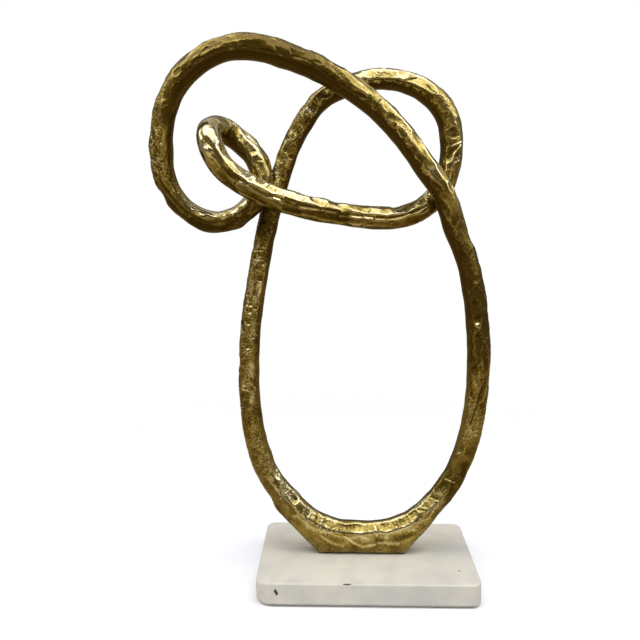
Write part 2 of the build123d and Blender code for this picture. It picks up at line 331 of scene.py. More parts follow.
# Blows to be seen on the real one. Each has its distance along its casting in mm, its angle round
# the skin in degrees, its half length along the strand, half width and depth in mm, and its lean
BLOWS = {
    "left_limb": [
        (39, -4, 2.2, 3.4, 0.75, 0),
        (46, 15, 1.4, 2.0, 0.60, 40),
        (64, -15, 2.4, 3.2, 0.70, 0),
        (68.5, -15, 1.4, 3.4, 0.75, 5),
        (79, -2, 6.0, 2.6, 0.85, 5),
        (94, 19, 2.3, 3.2, 0.75, 10),
        (98, 19, 1.1, 2.6, 0.70, 10),
        (101, -34, 3.6, 1.7, 0.60, 0),
        (107, -11, 1.0, 3.3, 0.75, -5),
        (124, 19, 4.5, 2.2, 0.70, 5),
        (190, 15, 1.4, 2.4, 0.60, 15),
        (205, -8, 1.4, 2.6, 0.65, 15),
        (210.5, 2, 3.2, 3.6, 1.30, 0),
        (214, -4, 1.0, 3.2, 0.70, 30),
        (221, -19, 3.0, 2.2, 0.75, 0),
        (262, -22, 12.0, 3.6, 0.85, 0),
        (286, -22, 14.0, 3.8, 0.95, 0),
        (285, -26, 1.3, 1.9, 0.70, 20),
        (292, -14, 1.2, 3.0, 0.95, -35),
        (303, 30, 1.2, 1.2, 0.50, 0),
        (307, 24, 1.0, 1.3, 0.45, 0),
    ],
    "front_sweep": [
        (7, -26, 2.0, 1.3, 0.60, 20),
        (48, 34, 5.0, 3.0, 0.95, -10),
        (55, 4, 7.0, 3.0, 0.85, 0),
        (71, 3, 8.0, 2.6, 0.80, -4),
        (88, 4, 8.0, 2.4, 0.75, 4),
        (104, 4, 7.0, 2.4, 0.75, 0),
        (118, 8, 7.0, 2.2, 0.75, 3),
        (134, 8, 8.0, 2.2, 0.75, 0),
        (76, 31, 24.0, 2.5, 0.56, 0),
        (120, 38, 26.0, 3.0, 0.66, 0),
        (165, 42, 26.0, 3.1, 0.70, 0),
        (192, 42, 15.0, 3.1, 0.70, 0),
        (76, -22, 2.4, 1.0, 0.50, 0),
        (91, -30, 2.3, 1.0, 0.45, 0),
        (100, -26, 2.6, 1.1, 0.50, 0),
        (92, 34, 1.1, 3.4, 0.85, 35),
        (108, 26, 5.2, 3.0, 0.80, 10),
        (117, 50, 4.4, 2.8, 0.75, 0),
        (122, 30, 1.1, 3.4, 0.95, 25),
        (130, 46, 4.6, 3.0, 0.90, 12),
        (138, 38, 1.2, 3.4, 0.95, 25),
        (148, 36, 6.0, 3.2, 0.90, 10),
        (157, 46, 1.2, 3.0, 0.95, 20),
        (163, 49, 1.2, 3.4, 0.95, 20),
        (169, 52, 4.6, 3.0, 0.90, 0),
        (175, 47, 1.2, 3.2, 0.95, 20),
        (150, 8, 8.0, 2.4, 0.80, 0),
        (167, 8, 8.0, 2.4, 0.80, 4),
        (184, 8, 8.0, 2.6, 0.80, 0),
        (200, 6, 6.0, 2.6, 0.75, 0),
        (207, 34, 0.9, 0.9, 0.20, 0),
        (211, -12, 3.5, 3.4, 0.60, 0),
        (218, 19, 1.0, 1.0, 0.20, 0),
        (223, 34, 4.0, 3.4, 0.70, 0),
        (250, 30, 9.0, 2.6, 0.60, -12),
        (265, 14, 9.0, 2.8, 0.62, -12),
        (279, 0, 7.0, 2.8, 0.62, -12),
        (270, 2, 1.1, 3.0, 0.80, 25),
        (276, -6, 1.1, 3.0, 0.80, 25),
    ],
    "crown_loop": [
        (10, 22, 16.0, 2.4, 0.50, 0),
        (43, 20, 6.0, 2.6, 0.60, 0),
        (61, 14, 11.0, 2.4, 0.50, -6),
        (77, -50, 1.8, 4.2, 0.95, 10),
        (87, -48, 1.7, 4.0, 0.95, 0),
        (97, -48, 1.7, 4.0, 0.90, -5),
        (108, -20, 3.6, 2.8, 0.55, 0),
        (125, 11, 1.5, 1.6, 0.60, 0),
        (143, -24, 3.4, 2.5, 0.85, 0),
        (158, 8, 6.0, 1.8, 0.80, 14),
        (173, -20, 4.0, 2.6, 0.60, 0),
        (189, -6, 4.8, 1.9, 0.65, 0),
        (205, -28, 4.0, 2.6, 0.60, 0),
        (208.5, -4, 1.3, 3.4, 0.80, -28),
        (211.5, 2, 1.5, 3.2, 0.80, -28),
        (218, -15, 1.1, 3.0, 0.70, -28),
        (118, -36, 16.0, 3.0, 0.55, 0),
        (172, -34, 22.0, 3.0, 0.55, 0),
        (235, -14, 3.2, 1.6, 0.60, 0),
        (262, -30, 24.0, 2.7, 0.50, 0),
        (306, -28, 30.0, 2.8, 0.52, 0),
        (344, -18, 16.0, 2.9, 0.60, 8),
        (365, -6, 12.0, 2.8, 0.55, -8),
        (283, -30, 1.2, 3.0, 0.85, 10),
        (308, 0, 4.5, 2.4, 0.60, 0),
        (325, 2, 7.0, 2.4, 0.60, -6),
        (355, -45, 3.2, 2.2, 0.70, 0),
        (374, 0, 5.0, 2.6, 0.60, 0),
        (396, -20, 6.0, 2.8, 0.60, 0),
        (426, -4, 3.2, 2.8, 0.80, 0),
        (437, 14, 5.6, 3.0, 0.95, 0),
        (445.5, 8, 3.6, 2.8, 1.05, 0),
        (468, -15, 5.5, 2.8, 0.60, 0),
    ],
    "foot_casting": [
        (18, 0, 3.2, 2.4, 0.70, 0),
        (75, 38, 24.0, 4.3, 1.10, 0),
        (118, 38, 30.0, 4.3, 1.10, 0),
        (162, 38, 30.0, 4.3, 1.10, 0),
        (205, 38, 9.5, 4.3, 1.15, 0),
        (72, 40, 4.6, 4.3, 1.35, 10),
        (99, 41, 4.8, 4.3, 1.35, 6),
        (110, 36, 4.2, 4.3, 1.40, 0),
        (123, 41, 5.5, 4.3, 1.40, 6),
        (144.5, 40, 4.8, 4.3, 1.40, 0),
        (168, 39, 4.4, 4.3, 1.40, 0),
        (200, 38, 3.7, 3.4, 1.40, 0),
    ],
}

# Ridges, and grooves where the height is minus: the height and half width in mm, and the places that
# the line runs through, each in mm along its casting and degrees round the skin
LINES = {
    "left_limb": [
        (-0.35, 0.4, [(292, -22), (297, -12), (300, -16)]),
        (-0.40, 0.8, [(252, 14), (270, 10), (285, 12), (300, 8)]),
        (-0.40, 0.6, [(277, 4), (281, -14), (284, -34)]),
        (0.80, 1.4, [(206, 16), (206.5, -18)]),
    ],
    "front_sweep": [
        (0.55, 0.6, [(-2, -49), (1, 4)]),
        (0.55, 0.6, [(0, -42), (6.5, -6), (13, -4), (22, -14)]),
        (0.45, 0.6, [(13, -4), (9.5, -45)]),
        (-0.50, 1.0, [(48, 4), (62, 8), (78, -2), (95, 4), (108, 0), (122, 8), (138, 6), (150, 20)]),
        (-0.50, 1.0, [(150, 20), (165, 22), (185, 20), (204, 24), (209, 4), (216, -24)]),
        (-0.45, 0.7, [(223, 78), (209, 66)]),
        (0.60, 0.7, [(153, -4), (163, -6)]),
        (0.60, 0.7, [(165, -8), (185, -14)]),
        (0.45, 0.6, [(90, -6), (112, -12)]),
        (0.45, 0.6, [(124, -2), (140, -12)]),
        (-0.35, 0.8, [(187, -44), (177, -38), (168, -42), (160, -46)]),
    ],
    "crown_loop": [
        (0.45, 0.8, [(166, -36), (159, -16), (151, -2)]),
        (-0.40, 0.9, [(166, -22), (159, -3), (151, 11)]),
        (0.50, 0.9, [(80, -24), (67, -2), (54, 13)]),
        (-0.35, 0.6, [(20, -2), (15, -12), (9, -34)]),
        (-0.35, 0.7, [(494, -14), (506, 0), (521, 22)]),
        (-0.45, 0.8, [(0, 8), (15, 5), (30, -5), (45, 0), (60, -5), (74, -22)]),
        (-0.40, 0.8, [(140, 4), (160, 8), (178, 10), (195, 19), (205, 16), (215, 8), (225, -2)]),
        (-0.40, 0.8, [(225, -2), (232, -4), (240, 10), (250, 22), (262, 20), (275, 10)]),
        (0.70, 1.3, [(450, 12), (451.5, 2)]),
    ],
    "foot_casting": [
        (0.40, 0.7, [(62, 50), (60, -4)]),
        (-0.25, 1.1, [(79, 50), (77, 10)]),
        (-0.25, 1.1, [(93, 50), (89, 10)]),
        (-0.25, 1.4, [(115, 50), (114, 10)]),
        (0.40, 0.7, [(131, 50), (130, -8)]),
        (-0.30, 1.0, [(139, 54), (139, 8)]),
        (-0.30, 0.9, [(150, 54), (150.5, 8)]),
        (-0.32, 0.9, [(158, 54), (159, 8)]),
        (-0.28, 0.9, [(164, 54), (164, 8)]),
        (0.30, 0.6, [(172, 54), (172, -8)]),
        (-0.32, 1.0, [(177, 54), (176.5, 8)]),
        (0.30, 0.6, [(183, 50), (183, 2)]),
        (0.35, 0.8, [(189, 50), (189, 0)]),
        (0.24, 0.7, [(168, -38), (160, -47), (153, -48)]),
        (0.28, 0.7, [(153, -12), (147, -38), (140, -50), (132, -43)]),
        (0.24, 0.7, [(129, -38), (123, -45), (117, -50)]),
        (0.70, 2.2, [(203, 92), (199, 94)]),
    ],
}

# Places painted darker, and painted highlights on facets and ridges where the amount is minus: how much
# more tarnished the colour is made, the half width in mm, and the places that the mark runs through
DARK_MARKS_AND_PAINTED_HIGHLIGHTS = {
    "left_limb": [
        (-0.80, 2.0, [(0, 20), (5, 20)]),
        (-0.80, 2.4, [(9, -14), (13, -16)]),
        (-0.90, 2.2, [(20, 16), (27, 20)]),
        (-0.80, 2.4, [(35, 0), (38, 4)]),
        (-0.80, 2.0, [(46, 14), (54, 20)]),
        (-0.70, 2.2, [(61, -8), (65, -10)]),
        (0.50, 0.8, [(67, -20), (67.5, 10)]),
        (-0.90, 2.2, [(73, 18), (83, 24)]),
        (-0.60, 2.0, [(76, -22), (84, -26)]),
        (-0.80, 1.6, [(92, 10), (97, 30)]),
        (-0.80, 2.2, [(100, -8), (105, -14)]),
        (0.60, 0.8, [(106, -16), (107.5, 8)]),
        (-0.60, 1.4, [(109, 4), (112, 30)]),
        (-0.90, 1.6, [(120, 20), (129, 34)]),
        (0.80, 3.0, [(119, -14), (133, -10)]),
        (-0.80, 2.0, [(155, -8), (162, -16)]),
        (-0.60, 1.8, [(168, 20), (174, 0)]),
        (0.50, 2.0, [(186, 28), (191, 24)]),
        (-0.80, 2.4, [(196, -8), (201, 2)]),
        (0.70, 1.8, [(202, 16), (205, -4)]),
        (-1.30, 1.8, [(209, 16), (210, -18)]),
        (0.90, 1.2, [(213.5, 20), (213, -20)]),
        (-0.90, 1.8, [(219, -8), (223, -20)]),
    ],
    "front_sweep": [
        (-0.50, 0.9, [(-2, -49), (1, 4)]),
        (-0.50, 0.9, [(0, -42), (6.5, -6), (13, -4), (22, -14)]),
        (0.45, 1.8, [(2, -24), (20, -32)]),
        (1.00, 2.8, [(49, 0), (64, 0)]),
        (1.00, 2.3, [(66, 2), (92, 2), (110, 0), (148, 4)]),
        (1.10, 2.4, [(150, 8), (185, 6), (203, 6)]),
        (0.40, 2.6, [(60, -30), (205, -30)]),
        (-0.60, 0.8, [(153, -6), (163, -6)]),
        (-0.50, 0.8, [(167, -12), (178, -14)]),
        (-0.45, 2.6, [(204, -2), (216, -32)]),
        (-0.40, 1.8, [(52, 30), (100, 30)]),
        (0.80, 2.4, [(46, 64), (104, 64)]),
    ],
    "crown_loop": [
        (0.35, 2.8, [(4, -26), (62, -32)]),
        (-0.40, 1.6, [(0, 18), (22, 18)]),
        (-0.40, 1.8, [(40, 26), (70, 8)]),
        (-0.25, 3.2, [(74, 8), (104, 8)]),
        (-0.45, 1.7, [(81, -40), (83, -58)]),
        (-0.45, 1.7, [(91, -38), (93, -58)]),
        (-0.45, 0.9, [(147, 2), (165, -22)]),
        (0.55, 1.3, [(147, -12), (161, -25)]),
        (-0.60, 1.0, [(206.5, -2), (211, -20)]),
        (0.50, 0.9, [(210, 0), (214.5, -18)]),
        (0.50, 0.9, [(215, -10), (220, -26)]),
        (0.40, 1.6, [(243, 2), (262, -2)]),
        (0.40, 1.4, [(272, 4), (282, -6)]),
        (0.70, 0.8, [(283, -4), (283, -30)]),
        (0.40, 1.5, [(300, 4), (312, 0)]),
        (0.35, 1.6, [(318, -4), (330, 4)]),
        (0.45, 1.8, [(350, 26), (358, 24)]),
        (-0.50, 2.6, [(390, -24), (414, -26)]),
        (-0.90, 2.4, [(421, -4), (428, -2)]),
        (-0.40, 2.4, [(434, -24), (446, -22)]),
        (0.50, 3.4, [(432, 12), (441, 14)]),
        (-1.40, 1.4, [(447.5, 12), (449.5, 6)]),
        (-0.40, 2.4, [(486, 12), (499, 20)]),
    ],
    "foot_casting": [
        (-0.60, 1.0, [(70, 6), (120, 6), (215, 6)]),
        (-0.30, 1.5, [(144.5, 56), (144.5, 6)]),
        (-0.30, 1.5, [(154, 56), (154.5, 6)]),
        (-0.40, 1.0, [(161.5, 58), (161.5, 4)]),
        (-0.30, 1.5, [(168, 56), (168, 6)]),
        (-0.35, 1.0, [(186, 54), (186, 10)]),
        (-0.50, 2.0, [(199, 44), (203, 40)]),
        (-0.40, 2.0, [(208, 46), (212, 30)]),
    ],
}
# Where metal was pushed up before the blows, written as LINES is
SWELLS = {"foot_casting": [(0.35, 3.0, [(52, -4), (100, -6), (180, -6), (215, -2)])]}


def unit(vectors):
    """Directions, each made 1 long."""
    return vectors / np.linalg.norm(vectors, axis=-1, keepdims=True)


def smooth_step(value, start, end):
    """0 up to start, 1 from end, and a smooth rise between."""
    share = np.clip((value - start) / (end - start), 0, 1)
    return share * share * (3 - 2 * share)


def turned_from(angles, angle):
    """How far round angles are from an angle, the short way."""
    return (angles - angle + math.pi) % (2 * math.pi) - math.pi


def softened(values, spacing, reach):
    """Values round a closed line, each blended with its neighbours within reach."""
    waves = np.fft.fftfreq(len(values), d=spacing).reshape((-1,) + (1,) * (values.ndim - 1))
    kept = np.exp(-2 * (math.pi * waves * reach) ** 2)
    return np.fft.ifft(np.fft.fft(values, axis=0) * kept, axis=0).real


def ring_faces(number):
    """The faces between rings of points, from the points' numbers by ring and column."""
    beside = np.roll(number, -1, axis=1)
    return np.stack([number[:-1], beside[:-1], beside[1:], number[1:]], -1).reshape(-1, 4)


def marked(mesh, **marks):
    """Gives each point of a mesh the values that its material reads."""
    for label, values in marks.items():
        layer = mesh.attributes.new(label, "FLOAT", "POINT")
        layer.data.foreach_set("value", values)


class Strand:
    """The closed strand as rings of points: where it runs, how thick it is, and its skin."""

    def __init__(self, sizes):
        self.sizes = sizes
        self.slab_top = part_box("marble_base")[1].z
        self.lay_line()
        self.column = 2 * math.pi * self.radius.mean() / sizes.columns
        self.turn_frames()
        self.foot_reach = self.measured_foot_reach()
        self.set_angles()

    def knot_point(self, across_share, up_share, depth_share, *_):
        """A point of the strand's centreline."""
        sizes = self.sizes
        across = sizes.knot_width * across_share - sizes.foot_offset
        up = self.slab_top + sizes.knot_height * up_share
        return np.array([across, sizes.strand_diameter * depth_share, up])

    def lay_line(self):
        """Runs a smooth closed line through the route's points, in even steps."""
        shares = [share for name in CASTINGS for share in ROUTE_SHARES[name]]
        points = np.array([self.knot_point(*share) for share in shares])
        thickness = np.array([share[3] for share in shares]) * self.sizes.strand_diameter
        chords = np.roll(points, -1, axis=0) - points
        lengths = np.linalg.norm(chords, axis=1)[:, None]
        before = unit(np.roll(chords, 1, axis=0)) * lengths
        headings = unit(before + unit(chords) * np.roll(lengths, 1, axis=0))
        fine = self.sizes.ring_step / FINE_STEPS
        line = []
        girth = []
        for index, length in enumerate(lengths[:, 0]):
            after = (index + 1) % len(points)
            t = np.arange(0, 1, fine / length)[:, None]
            line.append(
                (2 * t**3 - 3 * t**2 + 1) * points[index]
                + (t**3 - 2 * t**2 + t) * length * headings[index]
                + (3 * t**2 - 2 * t**3) * points[after]
                + (t**3 - t**2) * length * headings[after]
            )
            swell = thickness[after] - thickness[index]
            girth.append(thickness[index] + swell * smooth_step(t[:, 0], 0, 1))
        line = softened(np.concatenate(line), fine, LINE_BLEND)
        girth = softened(np.concatenate(girth), fine, GIRTH_BLEND)
        walked = np.linalg.norm(np.roll(line, -1, axis=0) - line, axis=1).cumsum()
        walked = np.concatenate([[0], walked])
        self.rings = round(walked[-1] / self.sizes.ring_step)
        self.step = walked[-1] / self.rings
        self.length = self.rings * self.step
        self.along = np.arange(self.rings) * self.step
        closed = np.concatenate([line, line[:1]])
        self.centre = np.stack([np.interp(self.along, walked, axis) for axis in closed.T], 1)
        self.radius = np.interp(self.along, walked, np.append(girth, girth[0])) / 2
        self.start = {}
        for name in CASTINGS:
            weld = self.knot_point(*ROUTE_SHARES[name][0])
            self.start[name] = self.along[np.linalg.norm(self.centre - weld, axis=1).argmin()]

    def turn_frames(self):
        """Each ring's directions: onward along the strand, front to the viewer, and side, which
        is the inner side of the knot's loops."""
        self.onward = unit(np.roll(self.centre, -1, axis=0) - np.roll(self.centre, 1, axis=0))
        self.front = np.zeros_like(self.centre)
        viewer = np.array([0, -1.0, 0])
        pull = FRONT_PULL * self.step / MM
        front = viewer
        # Twice round, so that the last ring's front meets the first one's
        for ring in [*range(self.rings)] * 2:
            onward = self.onward[ring]
            front = front + pull * viewer
            front = unit(front - onward * front.dot(onward))
            self.front[ring] = front
        self.side = np.cross(self.onward, self.front)

    def measured_foot_reach(self):
        """How far each ring's section reaches outwards: to the strand's skin, and in the foot to
        its flanks and the slab."""
        sizes = self.sizes
        half_width = sizes.foot_width / 2
        hand = np.sign(self.centre[:, 0] + sizes.foot_offset)
        across = (self.centre[:, 0] + sizes.foot_offset) * hand
        up = self.centre[:, 2] - self.slab_top
        out_across = -self.side[:, 0] * hand
        out_up = -self.side[:, 2]
        flanks = np.array([FLANK_TOP_SHARES[side] for side in hand])
        run = half_width * (flanks[:, 0] - 1)
        rise = sizes.knot_height * flanks[:, 1]
        facing = out_across * rise - out_up * run
        to_flank = ((half_width - across) * rise + up * run) / np.maximum(facing, rise * LEAST_FACING)
        to_slab = (up + FOOT_SINK) / np.maximum(-out_up, LEAST_FACING)
        fade = np.array([FLANK_FADES[side] for side in hand])
        spread = 1 - smooth_step(up, fade[:, 0], fade[:, 1])
        spread *= self.along >= self.start["foot_casting"]
        reach = np.maximum(np.minimum(to_flank, to_slab), self.radius)
        return self.radius + (reach - self.radius) * spread

    def section(self, ring, angles):
        """The distance from the centreline to the plain section, before hammering."""
        radius = self.radius[ring]
        reach = self.foot_reach[ring]
        below = np.maximum(-np.sin(angles), 0)
        sideways = np.maximum(np.abs(np.cos(angles)), 0.01)
        half_depth = self.sizes.foot_depth / 2 * (FOOT_NECK + FOOT_FLARE * below)
        power = 2 + (FOOT_SQUARENESS - 2) * smooth_step(reach / radius, *SQUARING_REACH)
        squared = (sideways / half_depth) ** power + (below / reach) ** power
        block = np.maximum(squared ** (-1 / power), radius)
        gate = smooth_step(self.turned_down(angles), *BLOCK_ANGLES)
        return radius + (block - radius) * gate

    def turned_down(self, angles):
        """How far angles round the skin are below the level, in front and behind alike."""
        return np.arctan2(-np.sin(angles), np.abs(np.cos(angles)))

    def set_angles(self):
        """Spreads each ring's points round its section, evenly along the skin."""
        columns = self.sizes.columns
        even = np.arange(columns) / columns
        full = np.linspace(-math.pi / 2, 3 * math.pi / 2, 361)
        self.angle = np.tile(even * 2 * math.pi - math.pi / 2, (self.rings, 1))
        for ring in np.flatnonzero(self.foot_reach > FOOT_FROM * self.radius):
            reach = self.section(ring, full)
            steps = np.hypot(np.diff(reach * np.cos(full)), np.diff(reach * np.sin(full)))
            walked = np.concatenate([[0], steps.cumsum()])
            self.angle[ring] = np.interp(even, walked / walked[-1], full)

    def patch(self, along, reach):
        """The rings within reach of a place, and their distances past it."""
        first = math.floor((along - reach) / self.step)
        last = math.ceil((along + reach) / self.step)
        numbers = np.arange(first, last + 1)
        return numbers % self.rings, (numbers * self.step - along)[:, None]

    def round_from(self, rings, angle):
        """How far round the skin each point of these rings is from an angle."""
        return turned_from(self.angle[rings], angle) * self.radius[rings][:, None]

    def cut(self, along, angle, half_length, half_width, depth, lean=0.0, slant=0.0):
        """One hammer blow: a shallow bowl or a long flat cut into the skin, with a crisp rim. Its
        lean turns it on the skin, and its slant tips it along the strand."""
        rings, past = self.patch(along, BLOW_REACH * max(half_length, half_width))
        beside = self.round_from(rings, angle)
        u = past * math.cos(lean) + beside * math.sin(lean)
        v = beside * math.cos(lean) - past * math.sin(lean)
        ends = 4 if half_length > LONG_BLOW else 2
        bowl = depth * ((u / half_length) ** ends + (v / half_width) ** 2 - 1) + slant * u
        now = self.height[rings]
        mix = np.clip(0.5 + 0.5 * (bowl - now) / SOFT_RIM, 0, 1)
        self.height[rings] = bowl + (now - bowl) * mix - SOFT_RIM * mix * (1 - mix)

    def drawn(self, table, scale):
        """A table's ridges and grooves, or its darker marks and painted highlights, as one field over
        the skin.
        """
        field = np.zeros_like(self.angle)
        for name in table:
            for amount, half_width, line in table[name]:
                places = [(self.start[name] + along * MM, math.radians(angle)) for along, angle in line]
                self.draw(field, places, half_width * MM, amount * scale)
        return field

    def draw(self, field, places, half_width, amount):
        """Adds one ridge, groove or stain along a line of places on the skin."""
        for (along, angle), (end_along, end_angle) in zip(places, places[1:]):
            middle = (along + end_along) / 2
            rings, past = self.patch(middle, abs(end_along - along) / 2 + LINE_REACH * half_width)
            u = past + middle - along
            v = self.round_from(rings, angle)
            run = end_along - along
            turn = (end_angle - angle) * self.radius[rings[0]]
            share = np.clip((u * run + v * turn) / (run**2 + turn**2), 0, 1)
            gap = np.hypot(u - share * run, v - share * turn)
            line = amount * np.exp(-((gap / half_width) ** 2))
            keep = np.maximum if amount > 0 else np.minimum
            field[rings] = keep(field[rings], line)

    def rippled(self, name):
        """One of the RIPPLES, as a field over the skin."""
        wave, seed, height = RIPPLES[name]
        draws = np.random.default_rng(seed).standard_normal(self.angle.shape)
        down = np.fft.fftfreq(self.rings, d=self.step)[:, None] * wave
        across = np.fft.fftfreq(self.sizes.columns, d=self.column)[None, :] * wave
        kept = np.exp(-(((np.hypot(down, across) - 1) / RIPPLE_SPREAD) ** 2))
        ripples = np.fft.ifft2(np.fft.fft2(draws) * kept).real
        return height * (ripples / ripples.std())

    def read_along(self, table):
        """A table of places along the castings, each of its values read at every ring."""
        rows = [(self.start[name] + row[0] * MM, *row[1:]) for name in CASTINGS for row in table[name]]
        marks, *columns = np.array(rows).T
        return [np.interp(self.along, marks, values, period=self.length)[:, None] for values in columns]

    def smooth_side(self):
        """1 on the side of the skin that was left smooth, 0 on the hammered side, with a wavy edge."""
        direction, reach = self.read_along(SMOOTH_SIDES)
        turn = np.abs(turned_from(self.angle, np.radians(direction)))
        gap = (turn - np.radians(reach)) * self.radius[:, None]
        gap += self.rippled("edge_waves") + self.rippled("edge_ripples")
        return 1 - smooth_step(gap, -LIP_HALF_WIDTH, LIP_HALF_WIDTH)

    def foot_block(self):
        """1 on the foot's lower faces, 0 elsewhere."""
        lower = smooth_step(self.turned_down(self.angle), *FACE_ANGLES)
        return smooth_step(self.foot_reach / self.radius, *FACE_REACH)[:, None] * lower

    def tarnish_shade_and_highlights(self, smooth, painted_shade_by_facing):
        """How dark each point of the brass is painted, within TARNISH_LIMITS: its tarnish, painted
        shade on faces that look down, darker marks and painted highlights.
        """
        hammered, plain = self.read_along(TARNISH)
        upward = np.cos(self.angle) * self.front[:, 2:] + np.sin(self.angle) * self.side[:, 2:]
        # Painted shade and light: faces that look down are painted darker, faces that look up lighter
        tarnish_and_painted_light = hammered + (plain - hammered) * smooth - painted_shade_by_facing * (upward - PLAIN_UPWARD)
        tarnish_and_painted_light += FOOT_TARNISH * self.foot_block() - RUBBED_PER_MM * self.lines / MM
        # Darker marks, and painted highlights where a mark's amount is minus
        tarnish_and_painted_light += self.drawn(DARK_MARKS_AND_PAINTED_HIGHLIGHTS, 1)
        return np.clip(tarnish_and_painted_light, *TARNISH_LIMITS)

    def random_blows(self, rng, name, start, end):
        """A casting's rows of facets and its nicks, each as cut takes it."""
        pitch, count, half_length, half_width, depth, nicks = HAMMERING[name]
        blows = []
        for row, row_place in enumerate(np.arange(start, end, pitch)):
            for number in range(count):
                stray = rng.uniform(-STRAY_ROUND, STRAY_ROUND)
                angle = 2 * math.pi * (number + 0.5 * (row % 2) + stray) / count
                shape = rng.uniform(*SIZE_RANGE, 3) * (half_length, half_width, depth)
                along = row_place + rng.uniform(-STRAY_ALONG, STRAY_ALONG) * pitch
                blows.append((along, angle, *shape, *rng.uniform(-LEAN_AND_SLANT, LEAN_AND_SLANT)))
        for _ in range(round(nicks * (end - start) / (10 * MM))):
            place = (rng.uniform(start, end), rng.uniform(0, 2 * math.pi))
            shape = rng.uniform(LEAST_NICK, MOST_NICK) * MM
            blows.append((*place, *shape, rng.uniform(-NICK_LEAN, NICK_LEAN)))
        return blows

    def placed_blows(self, name):
        """A casting's BLOWS, each as cut takes it."""
        blows = []
        for along, angle, length, width, depth, lean in BLOWS[name]:
            place = (self.start[name] + along * MM, math.radians(angle))
            blows.append((*place, length * MM, width * MM, depth * MM, math.radians(lean)))
        return blows

    def strike(self):
        """Cuts every blow, first each casting's random ones and then its placed ones."""
        rng = np.random.default_rng(BLOW_SEED)
        placed_blows = {name: self.placed_blows(name) for name in CASTINGS}
        places = np.array([blow[:2] for name in CASTINGS for blow in placed_blows[name]])
        ends = [*(self.start[name] for name in CASTINGS[1:]), self.length]
        for name, end in zip(CASTINGS, ends):
            for blow in self.random_blows(rng, name, self.start[name], end):
                turn = turned_from(places[:, 1], blow[1])
                gap = np.hypot(places[:, 0] - blow[0], turn * self.radius.mean())
                if gap.min() > CLEAR_OF_BLOWS:
                    self.cut(*blow)
            for blow in placed_blows[name]:
                self.cut(*blow)

    def hammer(self):
        """Works the whole skin: facets, nicks, the blows and lines of the real one, and the rough
        cast skin."""
        self.height = self.drawn(SWELLS, MM)
        self.lines = self.drawn(LINES, MM)
        self.strike()
        foot = (self.along >= self.start["foot_casting"]).astype(float)
        foot_less = 1 - FOOT_LESS * softened(foot, self.step, FOOT_BLEND)[:, None]
        smooth = self.smooth_side()
        # The painted shade by facing is weaker on the foot
        self.tarnish_and_painted_light = self.tarnish_shade_and_highlights(smooth, PAINTED_SHADE_BY_FACING * foot_less)
        (rough,) = self.read_along(ROUGHNESS)
        rough = rough * np.clip(ROUGH_MIDDLE + self.rippled("rough_patches"), *ROUGH_LIMITS)
        self.grain = rough * (1 - SMOOTH_LESS_GRAIN * smooth)
        pebbles = PEBBLE_LEVEL - np.abs(self.rippled("pebbles"))
        self.height = self.height * self.sizes.hammer_share + LIP * foot_less
        self.height += self.rippled("soft_dents")
        self.height *= 1 - SMOOTH_LESS_MARKS * np.maximum(smooth, self.foot_block())
        self.height += SKIN_DEPTH * self.grain * (self.rippled("cast_grain") + PEBBLE_SHARE * pebbles)
        self.height += self.rippled("swelling") - TRIM
        self.height += self.lines
        self.shape_skin()

    def shape_skin(self):
        """Works out every point's place, its normal and how deep it lies in a hollow."""
        reach = np.stack([self.section(ring, self.angle[ring]) for ring in range(self.rings)])
        reach = reach + self.height
        across = np.cos(self.angle)[:, :, None] * self.front[:, None]
        beside = np.sin(self.angle)[:, :, None] * self.side[:, None]
        self.skin = self.centre[:, None] + reach[:, :, None] * (across + beside)
        self.skin[:, :, 2] = np.maximum(self.skin[:, :, 2], self.slab_top)
        down = np.roll(self.skin, -1, axis=0) - np.roll(self.skin, 1, axis=0)
        over = np.roll(self.skin, -1, axis=1) - np.roll(self.skin, 1, axis=1)
        self.normal = unit(np.cross(over, down) + 1e-12)
        level = softened(self.height, self.step, HOLLOW_REACH)
        level = softened(level.T, self.column, HOLLOW_REACH).T
        self.hollow = np.clip(0.5 - (self.height - level) / HOLLOW_DEPTH, 0, 1)

    def piece(self, name, first, last, material, slot):
        """The skin between two places as a closed mesh of its own."""
        rings = np.arange(round(first / self.step), round(last / self.step) + 1) % self.rings
        count, columns = len(rings), self.sizes.columns
        places = self.skin[rings].reshape(-1, 3)
        normals = self.normal[rings].reshape(-1, 3)
        number = np.arange(count * columns).reshape(count, columns)
        quads = ring_faces(number)
        ends = self.centre[rings[[0, -1]]]
        corners = len(places)
        first_ring, last_ring = number[0], number[-1]
        first_cap = np.stack([first_ring, np.full(columns, corners), np.roll(first_ring, -1)], -1)
        last_cap = np.stack([np.roll(last_ring, -1), np.full(columns, corners + 1), last_ring], -1)
        faces = [*quads.tolist(), *first_cap.tolist(), *last_cap.tolist()]
        mesh = bpy.data.meshes.new(name)
        mesh.from_pydata(np.concatenate([places, ends]), [], faces)
        mesh.shade_smooth()
        loop_normals = [
            normals[quads.reshape(-1)],
            np.repeat(-self.onward[rings[:1]], 3 * columns, axis=0),
            np.repeat(self.onward[rings[-1:]], 3 * columns, axis=0),
        ]
        mesh.normals_split_custom_set(np.concatenate(loop_normals))
        # The tarnish values also hold the painted shade by facing and the painted highlights
        fields = {"hollow": self.hollow, "tarnish_and_painted_light": self.tarnish_and_painted_light, "grain": self.grain}
        # The caps lie inside the welds, so that a middling value does for their centres
        cap_centres = [0.5, 0.5]
        marks = {label: np.append(field[rings], cap_centres) for label, field in fields.items()}
        marked(mesh, **marks)
        return added(name, mesh, material, slot, name)


def added(name, mesh, material, slot, *replaced):
    """Puts a new piece in the scene: its finish, the body that it rides on, the nodes it replaces."""
    piece = bpy.data.objects.new(f"{name}_surface", mesh)
    bpy.context.scene.collection.objects.link(piece)
    mesh.materials.append(material)
    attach(piece, "root")
    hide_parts(*replaced)
    return piece


